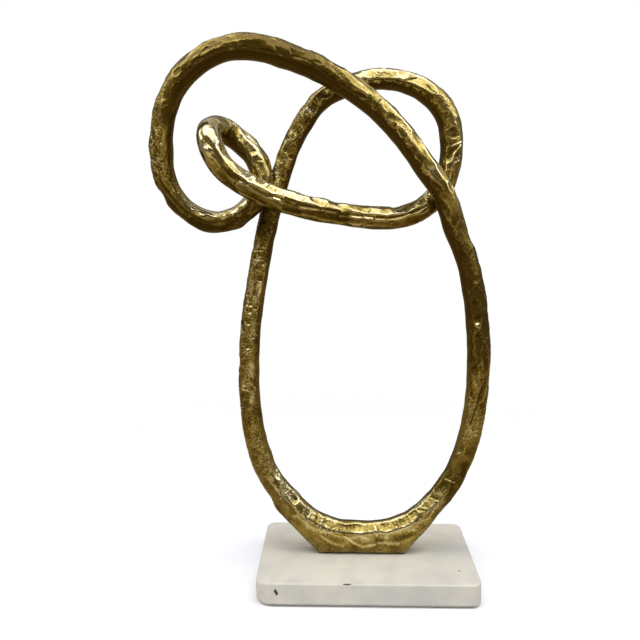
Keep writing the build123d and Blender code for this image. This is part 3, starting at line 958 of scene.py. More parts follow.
def slot_of(node):
    """The record's material slot of a node."""
    slots = {part["node"]: part["material_slot"] for part in frame["record"]["subparts"]}
    return slots[node]


def weld_places(strand, weld_toe):
    """Where each weld band starts and ends, by the casting that begins there."""
    return {name: (strand.start[name] - weld_toe, strand.start[name] + weld_toe) for name in CASTINGS}


# The weld band at the start of each casting
WELD_NODES = {
    "left_limb": "weld_left_leg",
    "front_sweep": "weld_right_lobe",
    "crown_loop": "weld_behind_sweep",
    "foot_casting": "weld_right_leg",
}
# Tack welds: the node, and the two points whose strands it joins
TACK_SHARES = {
    "tack_top_crossing": ((*TOP_CROSSING_SHARE, 0.40), (*TOP_CROSSING_SHARE, -0.60)),
    "tack_right_crossing": ((*RIGHT_CROSSING_SHARE, 0.57), (*RIGHT_CROSSING_SHARE, -0.485)),
    "tack_behind_sweep": ((*RETURN_CROSSING_SHARE, -0.44), (*RETURN_CROSSING_SHARE, -1.47)),
    "tack_left_leg": ((*LEG_CROSSING_SHARE, 0.34), (*RETURN_CROSSING_SHARE, -0.44)),
}
# The lumps on a tack weld, each with its wavelength and its height in mm, how flat the weld is, and
# what its material reads all over it
TACK_LUMPS = ((2.6 * MM, 0.35), (1.1 * MM, 0.12))
TACK_FLATNESS = 0.72
TACK_MARKS = {"hollow": 0.5, "tarnish_and_painted_light": 0.3, "grain": 0.6}


def tack_mesh(name, strand, tack_diameter):
    """A lump of weld between two strands that cross, wider than it is deep."""
    start, end = (strand.knot_point(*share) for share in TACK_SHARES[name])
    middle = (start + end) / 2
    turn = Vector(end - start).to_track_quat("Z", "Y").to_matrix().to_4x4()
    lump = bmesh.new()
    bmesh.ops.create_icosphere(lump, subdivisions=5, radius=tack_diameter / 2)
    for vertex in lump.verts:
        swell = sum(noise.noise(vertex.co / wave) * height * MM for wave, height in TACK_LUMPS)
        vertex.co += vertex.co.normalized() * swell
        vertex.co.z *= TACK_FLATNESS
    lump.transform(Matrix.Translation(Vector(middle)) @ turn)
    mesh = bpy.data.meshes.new(name)
    lump.to_mesh(mesh)
    lump.free()
    mesh.shade_smooth()
    points = len(mesh.vertices)
    marked(mesh, **{label: np.full(points, value) for label, value in TACK_MARKS.items()})
    return mesh


# Marble's chips and pits: the middle as shares of the slab's half sizes, the half sizes and depth in
# mm, and how much darker each is coloured
CHIPS = [
    ((-0.823, -1.0, 0.28), (0.9, 1.5, 1.4), 0.8, 2.0),
    ((-0.811, -1.0, 0.04), (0.9, 1.5, 1.4), 1.0, 2.0),
    ((-0.19, -0.985, 0.985), (3.4, 1.0, 0.8), 0.8, 1.4),
    ((-0.147, -1.0, 0.67), (1.7, 0.7, 0.5), 0.35, 0.5),
    ((0.828, -0.579, 1.0), (1.1, 1.1, 0.8), 0.6, 1.1),
    ((-0.884, -0.128, 1.0), (0.8, 0.8, 0.8), 0.4, 0.4),
    ((-0.985, -0.97, 0.2), (0.8, 0.8, 0.8), 0.4, 0.6),
    ((0.975, -0.97, 0.3), (2.6, 2.6, 4.0), 0.35, 0.0),
    ((-0.60, -0.80, 1.0), (2.0, 1.2, 0.8), 0.25, 0.1),
    ((0.40, 0.985, 0.985), (2.0, 0.9, 0.8), 0.5, 0.4),
    ((-0.97, 0.97, -0.4), (2.2, 2.2, 2.5), 0.4, 0.1),
    ((-0.985, -0.97, -0.95), (8.0, 8.0, 8.0), 2.4, 0.0),
]
# How round a chip's rim is: 1 is a plain bowl, and less is steeper
CHIP_RIM = 0.7
# The slab's mesh: the spacing of its points, how far in its underside is drawn, and its rows of points
# up the sides, round the top edge, over the border and in to the middle of the top
SLAB_SPACING = 0.8 * MM
UNDERSIDE_RIM = 4 * MM
SIDE_ROWS = 14
EDGE_ROWS = 9
BORDER_ROWS = 10
TOP_ROWS = 40
TOP_MIDDLE_SHARE = 0.04


def slab_outline(width, depth, corner, spacing):
    """Points and outward directions round a rounded rectangle."""
    points = []
    outward = []
    half = np.array([width / 2 - corner, depth / 2 - corner])
    hands = [(1, -1), (1, 1), (-1, 1), (-1, -1)]
    for number, hand in enumerate(hands):
        middle = half * hand
        first = -math.pi / 2 + number * math.pi / 2
        turns = np.linspace(first, first + math.pi / 2, max(6, round(corner * math.pi / 2 / spacing)))
        for turn in turns:
            direction = np.array([math.cos(turn), math.sin(turn)])
            points.append(middle + corner * direction)
            outward.append(direction)
        next_middle = half * hands[(number + 1) % 4]
        start = points[-1]
        end = next_middle + corner * outward[-1]
        count = round(np.linalg.norm(end - start) / spacing)
        for share in np.arange(1, count) / count:
            points.append(start + (end - start) * share)
            outward.append(outward[-1])
    return np.array(points), np.array(outward)


def slab_rows(low, high, look):
    """The slab's profile from its underside to its top: how far in each row of points is, and up."""
    edge, bevel = look.top_round, look.bottom_bevel
    shoulder = high.z - edge
    rows = [(UNDERSIDE_RIM, low.z), (bevel, low.z)]
    rows += [(0, height) for height in np.linspace(low.z + bevel, shoulder, SIDE_ROWS)]
    turns = np.linspace(0, math.pi / 2, EDGE_ROWS)[1:]
    rows += [(edge * (1 - math.cos(turn)), shoulder + edge * math.sin(turn)) for turn in turns]
    insets = np.linspace(edge, look.corner_radius - edge, BORDER_ROWS)[1:]
    return rows + [(inset, high.z) for inset in insets]


def chip(places, inward, low, high):
    """Cuts the CHIPS into the slab's points, and says how much darker that colours each point."""
    middle = np.array((low + high) / 2)
    half = np.array((high - low) / 2)
    darkened = np.zeros(len(places))
    for share, radii, depth, darkening in CHIPS:
        gap = np.linalg.norm((places - middle - half * share) / (np.array(radii) * MM), axis=1)
        bite = np.clip(1 - gap**2, 0, 1) ** CHIP_RIM
        places += inward * (depth * MM * bite)[:, None]
        darkened = np.maximum(darkened, bite * darkening)
    return darkened


def slab_mesh(name, look):
    """The marble slab: rounded top edge, small bevel below, chips and pits cut into it."""
    low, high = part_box(name)
    points, outward = slab_outline(*(high - low).xy, look.corner_radius, SLAB_SPACING)
    columns = len(points)
    rings = []
    normals = []
    for inset, height in slab_rows(low, high, look):
        rings.append(np.column_stack([points - outward * inset, np.full(columns, height)]))
        lean = np.clip((height - (high.z - look.top_round)) / look.top_round, 0, 1)
        normals.append(np.column_stack([outward * (1 - lean), np.full(columns, lean)]))
    border = rings[-1]
    for share in np.linspace(1, TOP_MIDDLE_SHARE, TOP_ROWS)[1:]:
        rings.append(border * (share, share, 1))
        normals.append(np.tile([0.0, 0.0, 1.0], (columns, 1)))
    places = np.concatenate(rings)
    inward = -unit(np.concatenate(normals) + 1e-9)
    darkened = chip(places, inward, low, high)
    number = np.arange(len(places)).reshape(-1, columns)
    faces = [*ring_faces(number).tolist(), number[0][::-1].tolist(), number[-1].tolist()]
    mesh = bpy.data.meshes.new(name)
    mesh.from_pydata(places, [], faces)
    marked(mesh, chipped=darkened)
    mesh.shade_smooth()
    return mesh


def connected(tree, node, inputs):
    """Gives a node its input values and the links into it."""
    for socket, value in inputs.items():
        if isinstance(value, bpy.types.NodeSocket):
            tree.links.new(value, node.inputs[socket])
        else:
            node.inputs[socket].default_value = value
    return node


def placed(tree, kind, inputs=None, **settings):
    """A new node with its settings, its input values and the links into it."""
    node = tree.nodes.new(kind)
    for setting, value in settings.items():
        setattr(node, setting, value)
    return connected(tree, node, inputs or {})


def maths(tree, operation, *values):
    """The result of one step of arithmetic."""
    return placed(tree, "ShaderNodeMath", dict(enumerate(values)), operation=operation).outputs[0]


def ranged(tree, value, start, end, low=0.0, high=1.0, rise="LINEAR"):
    """A value between start and end, as one between low and high."""
    inputs = {"Value": value, "From Min": start, "From Max": end, "To Min": low, "To Max": high}
    return placed(tree, "ShaderNodeMapRange", inputs, interpolation_type=rise).outputs[0]


def mixed(tree, share, first, second):
    """A value that lies a share of the way from one to another."""
    return placed(tree, "ShaderNodeMix", {0: share, 2: first, 3: second}, data_type="FLOAT").outputs[0]


def blended(tree, share, first, second):
    """A colour that lies a share of the way from one to another."""
    return placed(tree, "ShaderNodeMix", {0: share, 6: first, 7: second}, data_type="RGBA").outputs[2]


def noisy(tree, where, scale, detail, roughness=0.5):
    """A cloudy noise of this many clouds in a metre."""
    inputs = {"Vector": where, "Scale": scale, "Detail": detail, "Roughness": roughness}
    return placed(tree, "ShaderNodeTexNoise", inputs).outputs


def read_mark(tree, label):
    """A value that the mesh's points hold."""
    return placed(tree, "ShaderNodeAttribute", attribute_name=label).outputs["Fac"]


def bumped(tree, height, depth):
    """The normal of a surface with bumps this deep."""
    return placed(tree, "ShaderNodeBump", {"Height": height, "Distance": depth}).outputs["Normal"]


def object_places(tree):
    """Where each point is on its object."""
    return placed(tree, "ShaderNodeTexCoord").outputs["Object"]


def opaque(colour, share=1):
    """A colour as nodes take it, made darker where only a share of it is wanted."""
    return (*(share * channel for channel in colour), 1)


FLOAT_SOCKET = "NodeSocketFloat"
COLOUR_SOCKET = "NodeSocketColor"


def new_group(name, inputs, outputs):
    """An empty node group with named inputs, each with its default, and named outputs."""
    tree = bpy.data.node_groups.new(name, "ShaderNodeTree")
    for label, (kind, value) in inputs.items():
        socket = tree.interface.new_socket(label, in_out="INPUT", socket_type=kind)
        socket.default_value = value
    for label, kind in outputs.items():
        tree.interface.new_socket(label, in_out="OUTPUT", socket_type=kind)
    return tree


def grain_group(name):
    """Fine rough grain: a height for bumps and a speckle for colours, each from 0 to 1."""
    tree = new_group(
        name,
        {"Pitch": (FLOAT_SOCKET, 0.8 * MM), "Sharpness": (FLOAT_SOCKET, 0.5)},
        {"Height": FLOAT_SOCKET, "Speckle": FLOAT_SOCKET},
    )
    given = placed(tree, "NodeGroupInput").outputs
    where = object_places(tree)
    scale = maths(tree, "DIVIDE", 1.0, given["Pitch"])
    cells = placed(tree, "ShaderNodeTexVoronoi", {"Vector": where, "Scale": scale}, feature="SMOOTH_F1")
    grains = noisy(tree, where, scale, 3.0, 0.6)[0]
    height = mixed(tree, given["Sharpness"], grains, cells.outputs["Distance"])
    placed(tree, "NodeGroupOutput", {"Height": height, "Speckle": ranged(tree, grains, 0.35, 0.65)})
    return tree


# The patina: the size of its patches, and how strongly they, the hollows and the speckle darken it
PATCH_SIZE = 12 * MM
PATCH_WEIGHT = 1.1
HOLLOW_WEIGHT = 0.80
SPECKLE_WEIGHT = 0.60
# How dark the brass is where it starts to leave the worn colour, and where it has reached the patina's
# colour and the dark one
WORN_UP_TO = 1.22
PATINA_AT = 1.66
DARK_FROM = 2.26


def patina_and_light_group(name):
    """Antique brass: bright where it is rubbed and where highlights are painted, olive where it is
    tarnished, brown in the hollows and where shade is painted.
    """
    tree = new_group(
        name,
        {
            "Worn colour": (COLOUR_SOCKET, (0.8, 0.6, 0.25, 1)),
            "Patina colour": (COLOUR_SOCKET, (0.4, 0.28, 0.08, 1)),
            "Dark colour": (COLOUR_SOCKET, (0.08, 0.045, 0.015, 1)),
            "Tarnish and painted light": (FLOAT_SOCKET, 0.5),
            "Hollow": (FLOAT_SOCKET, 0.5),
            "Speckle": (FLOAT_SOCKET, 0.5),
            "Worn roughness": (FLOAT_SOCKET, 0.24),
            "Dark roughness": (FLOAT_SOCKET, 0.42),
        },
        {"Colour": COLOUR_SOCKET, "Roughness": FLOAT_SOCKET},
    )
    given = placed(tree, "NodeGroupInput").outputs
    patches = noisy(tree, object_places(tree), 1 / PATCH_SIZE, 3.0)[0]
    dark = maths(tree, "MULTIPLY_ADD", patches, PATCH_WEIGHT, given["Tarnish and painted light"])
    dark = maths(tree, "MULTIPLY_ADD", given["Hollow"], HOLLOW_WEIGHT, dark)
    dark = maths(tree, "MULTIPLY_ADD", given["Speckle"], SPECKLE_WEIGHT, dark)
    to_patina = ranged(tree, dark, WORN_UP_TO, PATINA_AT)
    to_dark = ranged(tree, dark, PATINA_AT, DARK_FROM)
    dulled = ranged(tree, dark, WORN_UP_TO, DARK_FROM)
    colour = blended(tree, to_patina, given["Worn colour"], given["Patina colour"])
    colour = blended(tree, to_dark, colour, given["Dark colour"])
    roughness = mixed(tree, dulled, given["Worn roughness"], given["Dark roughness"])
    placed(tree, "NodeGroupOutput", {"Colour": colour, "Roughness": roughness})
    return tree


def shared(tree, build, name, inputs):
    """The group of this name, built when it is first asked for, placed with a material's own values."""
    group = bpy.data.node_groups.get(name) or build(name)
    return placed(tree, "ShaderNodeGroup", inputs, node_tree=group).outputs


def fine_grain(tree, pitch, sharpness):
    """The fine grain's outputs."""
    return shared(tree, grain_group, "Fine grain", {"Pitch": pitch, "Sharpness": sharpness})


def new_material(name):
    """An empty material with one Principled surface, and its tree."""
    material = bpy.data.materials.new(name)
    material.use_nodes = True
    tree = material.node_tree
    return material, tree, tree.nodes["Principled BSDF"]


def brass_material(name, look, worn_colour):
    """Hammered brass with an antique patina, painted shade and highlights, and a fine cast grain."""
    material, tree, surface = new_material(name)
    rough = read_mark(tree, "grain")
    grain = fine_grain(tree, look.grain_pitch, 0.45)
    uneven = maths(tree, "SUBTRACT", grain["Speckle"], 0.5)
    gloss = ranged(tree, rough, 0.0, 1.4, look.polished_roughness, look.worn_roughness)
    patina_inputs = {
        "Worn colour": opaque(worn_colour),
        "Patina colour": opaque(look.patina_colour),
        "Dark colour": opaque(look.dark_colour),
        "Tarnish and painted light": read_mark(tree, "tarnish_and_painted_light"),
        "Hollow": read_mark(tree, "hollow"),
        "Speckle": maths(tree, "MULTIPLY_ADD", uneven, rough, 0.5),
        "Worn roughness": gloss,
        "Dark roughness": look.dark_roughness,
    }
    patina = shared(tree, patina_and_light_group, "Antique patina and painted light", patina_inputs)
    height = maths(tree, "MULTIPLY", grain["Height"], rough)
    finish = {
        "Base Color": patina["Colour"],
        "Roughness": patina["Roughness"],
        "Metallic": 1.0,
        "Coat Weight": look.lacquer,
        "Coat Roughness": 0.12,
        "Normal": bumped(tree, height, look.grain_depth),
    }
    connected(tree, surface, finish)
    return material


def marble_material(name, look):
    """White marble with soft grey veins, and its chips coloured darker."""
    material, tree, surface = new_material(name)
    where = object_places(tree)
    bend = {0: noisy(tree, where, 14.0, 5.0)["Color"], 1: (0.03, 0.03, 0.03), 2: where}
    bent = placed(tree, "ShaderNodeVectorMath", bend, operation="MULTIPLY_ADD").outputs[0]
    clouds = ranged(tree, noisy(tree, bent, 26.0, 6.0, 0.55)[0], 0.42, 0.72, rise="SMOOTHSTEP")
    waves = {"Vector": bent, "Scale": 5.0, "Distortion": 9.0, "Detail": 4.0, "Detail Scale": 2.0}
    streaks = placed(tree, "ShaderNodeTexWave", waves).outputs["Fac"]
    veined = maths(tree, "MAXIMUM", clouds, ranged(tree, streaks, 0.0, 0.16, 0.4, 0.0))
    stone = blended(tree, veined, opaque(look.stone_colour), opaque(look.vein_colour))
    darkened = ranged(tree, read_mark(tree, "chipped"), 0.25, 0.8)
    grain = fine_grain(tree, 0.9 * MM, 0.2)
    finish = {
        "Base Color": blended(tree, darkened, stone, opaque(look.chip_colour)),
        "Roughness": ranged(tree, grain["Speckle"], 0.0, 1.0, 0.38, 0.52),
        "Normal": bumped(tree, grain["Height"], 0.02 * MM),
    }
    connected(tree, surface, finish)
    return material


def felt_material(name, look):
    """Matted felt: short fibres in uneven tufts."""
    material, tree, surface = new_material(name)
    grain = fine_grain(tree, 0.5 * MM, 0.1)
    light, dark = opaque(look.felt_colour), opaque(look.felt_colour, 0.6)
    finish = {
        "Base Color": blended(tree, grain["Speckle"], light, dark),
        "Roughness": 0.95,
        "Sheen Weight": 0.4,
        "Normal": bumped(tree, grain["Height"], 0.15 * MM),
    }
    connected(tree, surface, finish)
    return material


def steel_material(name, look):
    """Brushed steel of the screws and washers."""
    material, tree, surface = new_material(name)
    grain = fine_grain(tree, 0.25 * MM, 0.0)
    bright, dull = opaque(look.steel_colour), (0.36, 0.36, 0.37, 1)
    finish = {
        "Base Color": blended(tree, grain["Speckle"], bright, dull),
        "Roughness": ranged(tree, grain["Speckle"], 0.0, 1.0, 0.25, 0.4),
        "Metallic": 1.0,
        "Normal": bumped(tree, grain["Height"], 0.01 * MM),
    }
    connected(tree, surface, finish)
    return material


class KnotStrandSizes(bpy.types.PropertyGroup):
    """Sizes of the strand and of its hammering."""

    knot_width: FloatProperty(
        name="Knot width",
        description="What the route's shares across are of",
        default=232 * MM,
        unit="LENGTH",
    )
    knot_height: FloatProperty(
        name="Knot height",
        description="What the route's shares up are of",
        default=359 * MM,
        unit="LENGTH",
    )
    strand_diameter: FloatProperty(
        name="Strand diameter",
        description="Nominal diameter of the strand",
        default=15.4 * MM,
        unit="LENGTH",
    )
    foot_offset: FloatProperty(
        name="Foot offset",
        description="How far left of the middle the foot is",
        default=3.3 * MM,
        unit="LENGTH",
    )
    foot_width: FloatProperty(
        name="Foot width", description="Width of the foot on the slab", default=63 * MM, unit="LENGTH"
    )
    foot_depth: FloatProperty(
        name="Foot depth", description="Depth of the foot on the slab", default=14.5 * MM, unit="LENGTH"
    )
    weld_toe: FloatProperty(
        name="Weld toe", description="How far a weld reaches each way", default=3 * MM, unit="LENGTH"
    )
    tack_diameter: FloatProperty(
        name="Tack weld diameter", description="Width of a tack weld", default=9 * MM, unit="LENGTH"
    )
    hammer_share: FloatProperty(
        name="Hammering", description="How deep the hammer marks are, of their usual depth", default=1.0
    )
    ring_step: FloatProperty(
        name="Ring step",
        description="Distance between the mesh's rings",
        default=0.6 * MM,
        unit="LENGTH",
    )
    columns: IntProperty(name="Columns", description="Points round each ring", default=96)


class KnotFinishes(bpy.types.PropertyGroup):
    """Colours and finishes."""

    worn_colour: FloatVectorProperty(
        name="Worn brass",
        description="Brass where it is rubbed bright",
        subtype="COLOR",
        default=(0.76, 0.655, 0.37),
    )
    weld_colour: FloatVectorProperty(
        name="Weld brass",
        description="Brass of the weld metal",
        subtype="COLOR",
        default=(0.75, 0.65, 0.37),
    )
    patina_colour: FloatVectorProperty(
        name="Patina", description="Olive brown tarnish", subtype="COLOR", default=(0.47, 0.345, 0.078)
    )
    # The darkest brass: in the hollows, and where shade is painted on faces that look down
    dark_colour: FloatVectorProperty(
        name="Dark brass",
        description="Brown left in the shelter",
        subtype="COLOR",
        default=(0.13, 0.080, 0.008),
    )
    lacquer: FloatProperty(
        name="Lacquer", description="How much clear lacquer is on the brass", default=0.3
    )
    polished_roughness: FloatProperty(
        name="Polished roughness",
        description="Gloss where the brass is smooth and rubbed",
        default=0.14,
    )
    worn_roughness: FloatProperty(
        name="Worn roughness", description="Gloss where its skin is rough", default=0.30
    )
    dark_roughness: FloatProperty(
        name="Dark roughness", description="Gloss of the dark brass", default=0.42
    )
    grain_pitch: FloatProperty(
        name="Grain pitch", description="Size of the cast grain", default=1.5 * MM, unit="LENGTH"
    )
    grain_depth: FloatProperty(
        name="Grain depth", description="Depth of the cast grain", default=0.20 * MM, unit="LENGTH"
    )
    stone_colour: FloatVectorProperty(
        name="Marble", description="White of the stone", subtype="COLOR", default=(0.70, 0.655, 0.535)
    )
    vein_colour: FloatVectorProperty(
        name="Veins", description="Grey of the veins", subtype="COLOR", default=(0.56, 0.54, 0.48)
    )
    # The dark colour that the chips are coloured with
    chip_colour: FloatVectorProperty(
        name="Chips", description="Dirt in the chips", subtype="COLOR", default=(0.035, 0.031, 0.027)
    )
    corner_radius: FloatProperty(
        name="Slab corner", description="Radius of the slab's corners", default=7 * MM, unit="LENGTH"
    )
    top_round: FloatProperty(
        name="Slab top edge",
        description="Radius of the slab's top edge",
        default=1.3 * MM,
        unit="LENGTH",
    )
    bottom_bevel: FloatProperty(
        name="Slab bottom edge",
        description="Bevel of the slab's bottom edge",
        default=0.6 * MM,
        unit="LENGTH",
    )
    felt_colour: FloatVectorProperty(
        name="Felt", description="Colour of the felt", subtype="COLOR", default=(0.62, 0.60, 0.56)
    )
    steel_colour: FloatVectorProperty(
        name="Steel", description="Colour of the fixings", subtype="COLOR", default=(0.55, 0.55, 0.57)
    )


class KnotStage(bpy.types.PropertyGroup):
    """The floor, the light and the camera."""

    floor_colour: FloatVectorProperty(
        name="Floor", description="Colour of the floor", subtype="COLOR", default=(0.93, 0.93, 0.93)
    )
    sky_strength: FloatProperty(name="Sky", description="Light all round", default=1.0)
    key_strength: FloatProperty(
        name="Softboxes", description="Brightness of the softboxes", default=1.0
    )


class KNOT_OT_castings(bpy.types.Operator):
    """Make the four brass castings: left limb, front sweep, crown loop and foot"""

    bl_idname = "knot.castings"
    bl_label = "Brass castings"

    def execute(self, context):
        scene = context.scene
        strand = Strand(scene.knot_strand)
        strand.hammer()
        welds = weld_places(strand, scene.knot_strand.weld_toe)
        brass = brass_material("Antique brass", scene.knot_finishes, scene.knot_finishes.worn_colour)
        for name, after in zip(CASTINGS, (*CASTINGS[1:], CASTINGS[0])):
            first = welds[name][1]
            last = welds[after][0]
            last = last if last > first else last + strand.length
            strand.piece(name, first, last, brass, slot_of(name))
        return {"FINISHED"}


class KNOT_OT_welds(bpy.types.Operator):
    """Make the weld bands between the castings and the tack welds where the strand crosses"""

    bl_idname = "knot.welds"
    bl_label = "Welds"

    def execute(self, context):
        scene = context.scene
        strand = Strand(scene.knot_strand)
        strand.hammer()
        welds = weld_places(strand, scene.knot_strand.weld_toe)
        brass = brass_material("Weld brass", scene.knot_finishes, scene.knot_finishes.weld_colour)
        for casting, node in WELD_NODES.items():
            strand.piece(node, *welds[casting], brass, slot_of(node))
        for node in TACK_SHARES:
            mesh = tack_mesh(node, strand, scene.knot_strand.tack_diameter)
            added(node, mesh, brass, slot_of(node), node)
        return {"FINISHED"}


class KNOT_OT_slab(bpy.types.Operator):
    """Make the white marble slab with its chips"""

    bl_idname = "knot.slab"
    bl_label = "Marble slab"

    def execute(self, context):
        finishes = context.scene.knot_finishes
        mesh = slab_mesh("marble_base", finishes)
        marble = marble_material("White marble", finishes)
        added("marble_base", mesh, marble, slot_of("marble_base"), "marble_base")
        return {"FINISHED"}


class KNOT_OT_fittings(bpy.types.Operator):
    """Give the felt, the washers and the screws their materials"""

    bl_idname = "knot.fittings"
    bl_label = "Felt and fixings"

    def execute(self, context):
        finishes = context.scene.knot_finishes
        felt = felt_material("Felt", finishes)
        steel = steel_material("Brushed steel", finishes)
        dressed = {"felt_sheet": felt}
        for side in ("left", "right"):
            dressed[f"washer_{side}"] = steel
            dressed[f"base_screw_{side}"] = steel
        for name, material in dressed.items():
            node = frame["nodes"][name]
            node.data.materials.clear()
            node.data.materials.append(material)
        return {"FINISHED"}


class KNOT_OT_stage(bpy.types.Operator):
    """Make the pale floor, the soft light and the camera at the photograph's angle"""

    bl_idname = "knot.stage"
    bl_label = "Floor, light and camera"

    def execute(self, context):
        stage = context.scene.knot_stage
        add_floor(stage)
        add_sky(stage)
        add_lights(stage)
        add_camera(context.scene)
        context.scene.view_settings.view_transform = "Standard"
        return {"FINISHED"}


# The floor's radius, and the distances from the middle over which it fades
FLOOR_RADIUS = 0.62
FLOOR_FADE = (0.16, 0.60)


def add_floor(stage):
    """A wide round floor that fades into the background."""
    disc = bmesh.new()
    bmesh.ops.create_circle(disc, cap_ends=True, segments=96, radius=FLOOR_RADIUS)
    mesh = bpy.data.meshes.new("floor")
    disc.to_mesh(mesh)
    disc.free()
    floor = bpy.data.objects.new("floor", mesh)
    bpy.context.scene.collection.objects.link(floor)
    material, tree, surface = new_material("Pale floor")
    reach = placed(tree, "ShaderNodeVectorMath", {0: object_places(tree)}, operation="LENGTH")
    finish = {
        "Base Color": opaque(stage.floor_colour),
        "Roughness": 0.9,
        "Specular IOR Level": 0.1,
        "Alpha": ranged(tree, reach.outputs["Value"], *FLOOR_FADE, 1.0, 0.0, rise="SMOOTHSTEP"),
    }
    connected(tree, surface, finish)
    mesh.materials.append(material)
    floor.visible_glossy = False


# The studio round the object: stops of light from straight below, 0, to straight up, 1, all round and
# in front, where the room is dark at eye level, and behind, over the lit floor
SKY = [
    (0.30, (0.26, 0.195, 0.095)),
    (0.44, (0.28, 0.22, 0.12)),
    (0.52, (0.24, 0.22, 0.17)),
    (0.64, (0.34, 0.33, 0.31)),
    (0.80, (0.52, 0.51, 0.49)),
    (1.0, (0.55, 0.545, 0.53)),
]
FRONT_SKY = [
    (0.28, (0.15, 0.11, 0.050)),
    (0.37, (0.70, 0.58, 0.35)),
    (0.45, (0.78, 0.67, 0.43)),
    (0.52, (0.060, 0.048, 0.030)),
    (0.74, (0.075, 0.066, 0.048)),
    (0.86, (0.60, 0.59, 0.56)),
    (1.0, (0.60, 0.595, 0.58)),
]
BACK_SKY = [
    (0.30, (0.40, 0.31, 0.14)),
    (0.45, (0.34, 0.27, 0.13)),
    (0.52, (0.09, 0.08, 0.06)),
    (0.84, (0.10, 0.09, 0.07)),
    (0.94, (0.35, 0.34, 0.32)),
    (1.0, (0.55, 0.545, 0.53)),
]
# Where the light in front and the light behind take over, along Y on a sphere round the object
FRONT_FROM_TO = (-0.30, -0.62)
BACK_FROM_TO = (0.45, 0.9)


def sky_ramp(tree, rise, stops):
    """The light at each height, from straight below to straight up."""
    ramp = placed(tree, "ShaderNodeValToRGB", {0: rise})
    marks = ramp.color_ramp.elements
    for mark, (place, colour) in zip([*marks, *(marks.new(0.5) for _ in stops[2:])], stops):
        mark.position = place
        mark.color = opaque(colour)
    return ramp.outputs[0]


def add_sky(stage):
    """Bright overhead, dimmer at the horizon, dark in front at eye level, white to the eye."""
    world = bpy.data.worlds.new("Soft studio")
    bpy.context.scene.world = world
    world.use_nodes = True
    tree = world.node_tree
    tree.nodes.clear()
    where = placed(tree, "ShaderNodeTexCoord").outputs["Generated"]
    parts = placed(tree, "ShaderNodeSeparateXYZ", {0: where}).outputs
    rise = ranged(tree, parts["Z"], -1.0, 1.0)
    front = ranged(tree, parts["Y"], *FRONT_FROM_TO)
    back = ranged(tree, parts["Y"], *BACK_FROM_TO)
    light = blended(tree, front, sky_ramp(tree, rise, SKY), sky_ramp(tree, rise, FRONT_SKY))
    light = blended(tree, back, light, sky_ramp(tree, rise, BACK_SKY))
    seen = placed(tree, "ShaderNodeBackground", {"Color": (1, 1, 1, 1), "Strength": 1.0})
    lit = placed(tree, "ShaderNodeBackground", {"Color": light, "Strength": stage.sky_strength})
    eye = placed(tree, "ShaderNodeLightPath").outputs["Is Camera Ray"]
    mix = placed(tree, "ShaderNodeMixShader", {0: eye, 1: lit.outputs[0], 2: seen.outputs[0]})
    placed(tree, "ShaderNodeOutputWorld", {"Surface": mix.outputs[0]})


# Softboxes: name, place, the point that each faces, size, brightness, colour, and whether the brass
# mirrors it
COOL = (0.93, 0.97, 1.12)
WARM = (1.03, 1.0, 0.94)
SOFTBOXES = [
    ("Overhead", (-0.1, -0.45, 1.5), (-0.1, -0.2, 0.2), (1.9, 1.5), 1.70, COOL, True),
    ("Left", (-1.0, -0.5, 1.0), (0, 0, 0.2), (0.8, 0.8), 1.6, COOL, True),
    ("Right", (1.1, -0.3, 1.1), (0, 0, 0.2), (0.8, 0.8), 2.2, COOL, True),
    ("Fill", (0.0, -0.5, 2.2), (0, 0, 0), (1.6, 1.6), 1.65, WARM, False),
]


def add_lights(stage):
    """The softboxes, each turned to the point that it faces."""
    for name, place, aim, size, brightness, colour, mirrored in SOFTBOXES:
        lamp = bpy.data.lights.new(name, "AREA")
        lamp.shape = "RECTANGLE"
        lamp.size, lamp.size_y = size
        lamp.color = colour
        lamp.energy = stage.key_strength * brightness * math.pi * size[0] * size[1]
        light = bpy.data.objects.new(name, lamp)
        light.location = place
        facing = Vector(aim) - Vector(place)
        light.rotation_euler = facing.to_track_quat("-Z", "Y").to_euler()
        light.visible_glossy = mirrored
        bpy.context.scene.collection.objects.link(light)


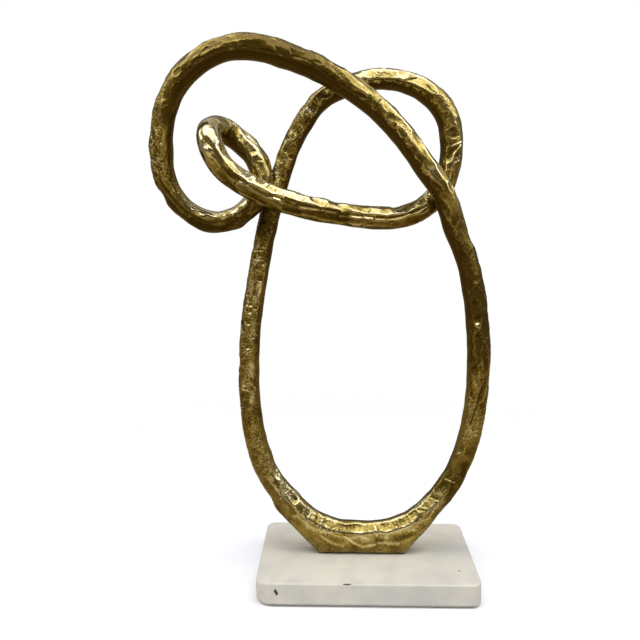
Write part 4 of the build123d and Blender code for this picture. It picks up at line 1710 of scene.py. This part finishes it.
# The photograph's camera, solved from the slab's edges: its place, how many degrees it looks down and
# to the left, and its lens and sensor in mm
CAMERA_PLACE = (-22.18 * MM, -535.87 * MM, 267.31 * MM)
LOOKS_DOWN = 8.45
LOOKS_LEFT = 1.22
LENS = 43.53
SENSOR = 36


def add_camera(scene):
    """The photograph's own view: a little above the slab and a little left of the middle."""
    lens = bpy.data.cameras.new("Camera")
    lens.sensor_width = SENSOR
    lens.lens = LENS
    lens.clip_start = 0.01
    camera = bpy.data.objects.new("Camera", lens)
    camera.location = CAMERA_PLACE
    camera.rotation_euler = (math.radians(90 - LOOKS_DOWN), 0, math.radians(LOOKS_LEFT))
    scene.collection.objects.link(camera)
    scene.camera = camera


class KNOT_PT_sidebar(bpy.types.Panel):
    """The knot's sizes, its finishes and the steps that make it"""

    bl_idname = "KNOT_PT_sidebar"
    bl_label = "Knot sculpture"
    bl_space_type = "VIEW_3D"
    bl_region_type = "UI"
    bl_category = "Knot sculpture"

    def draw(self, context):
        scene = context.scene
        for group in (scene.knot_strand, scene.knot_finishes, scene.knot_stage):
            box = self.layout.box()
            for name in group.__annotations__:
                box.prop(group, name)
        for step in STEPS:
            self.layout.operator(step.bl_idname)


STEPS = (KNOT_OT_castings, KNOT_OT_welds, KNOT_OT_slab, KNOT_OT_fittings, KNOT_OT_stage)
CLASSES = (KnotStrandSizes, KnotFinishes, KnotStage, *STEPS, KNOT_PT_sidebar)


def register():
    """Adds the classes to Blender, and their settings to its scenes."""
    for each in CLASSES:
        bpy.utils.register_class(each)
    bpy.types.Scene.knot_strand = PointerProperty(type=KnotStrandSizes)
    bpy.types.Scene.knot_finishes = PointerProperty(type=KnotFinishes)
    bpy.types.Scene.knot_stage = PointerProperty(type=KnotStage)


def unregister():
    """Takes away what register added."""
    del bpy.types.Scene.knot_strand
    del bpy.types.Scene.knot_finishes
    del bpy.types.Scene.knot_stage
    for each in reversed(CLASSES):
        bpy.utils.unregister_class(each)


def main():
    """Makes every piece and the stage."""
    register()
    for step in STEPS:
        group, name = step.bl_idname.split(".")
        getattr(getattr(bpy.ops, group), name)()


if __name__ == "__main__":
    main()
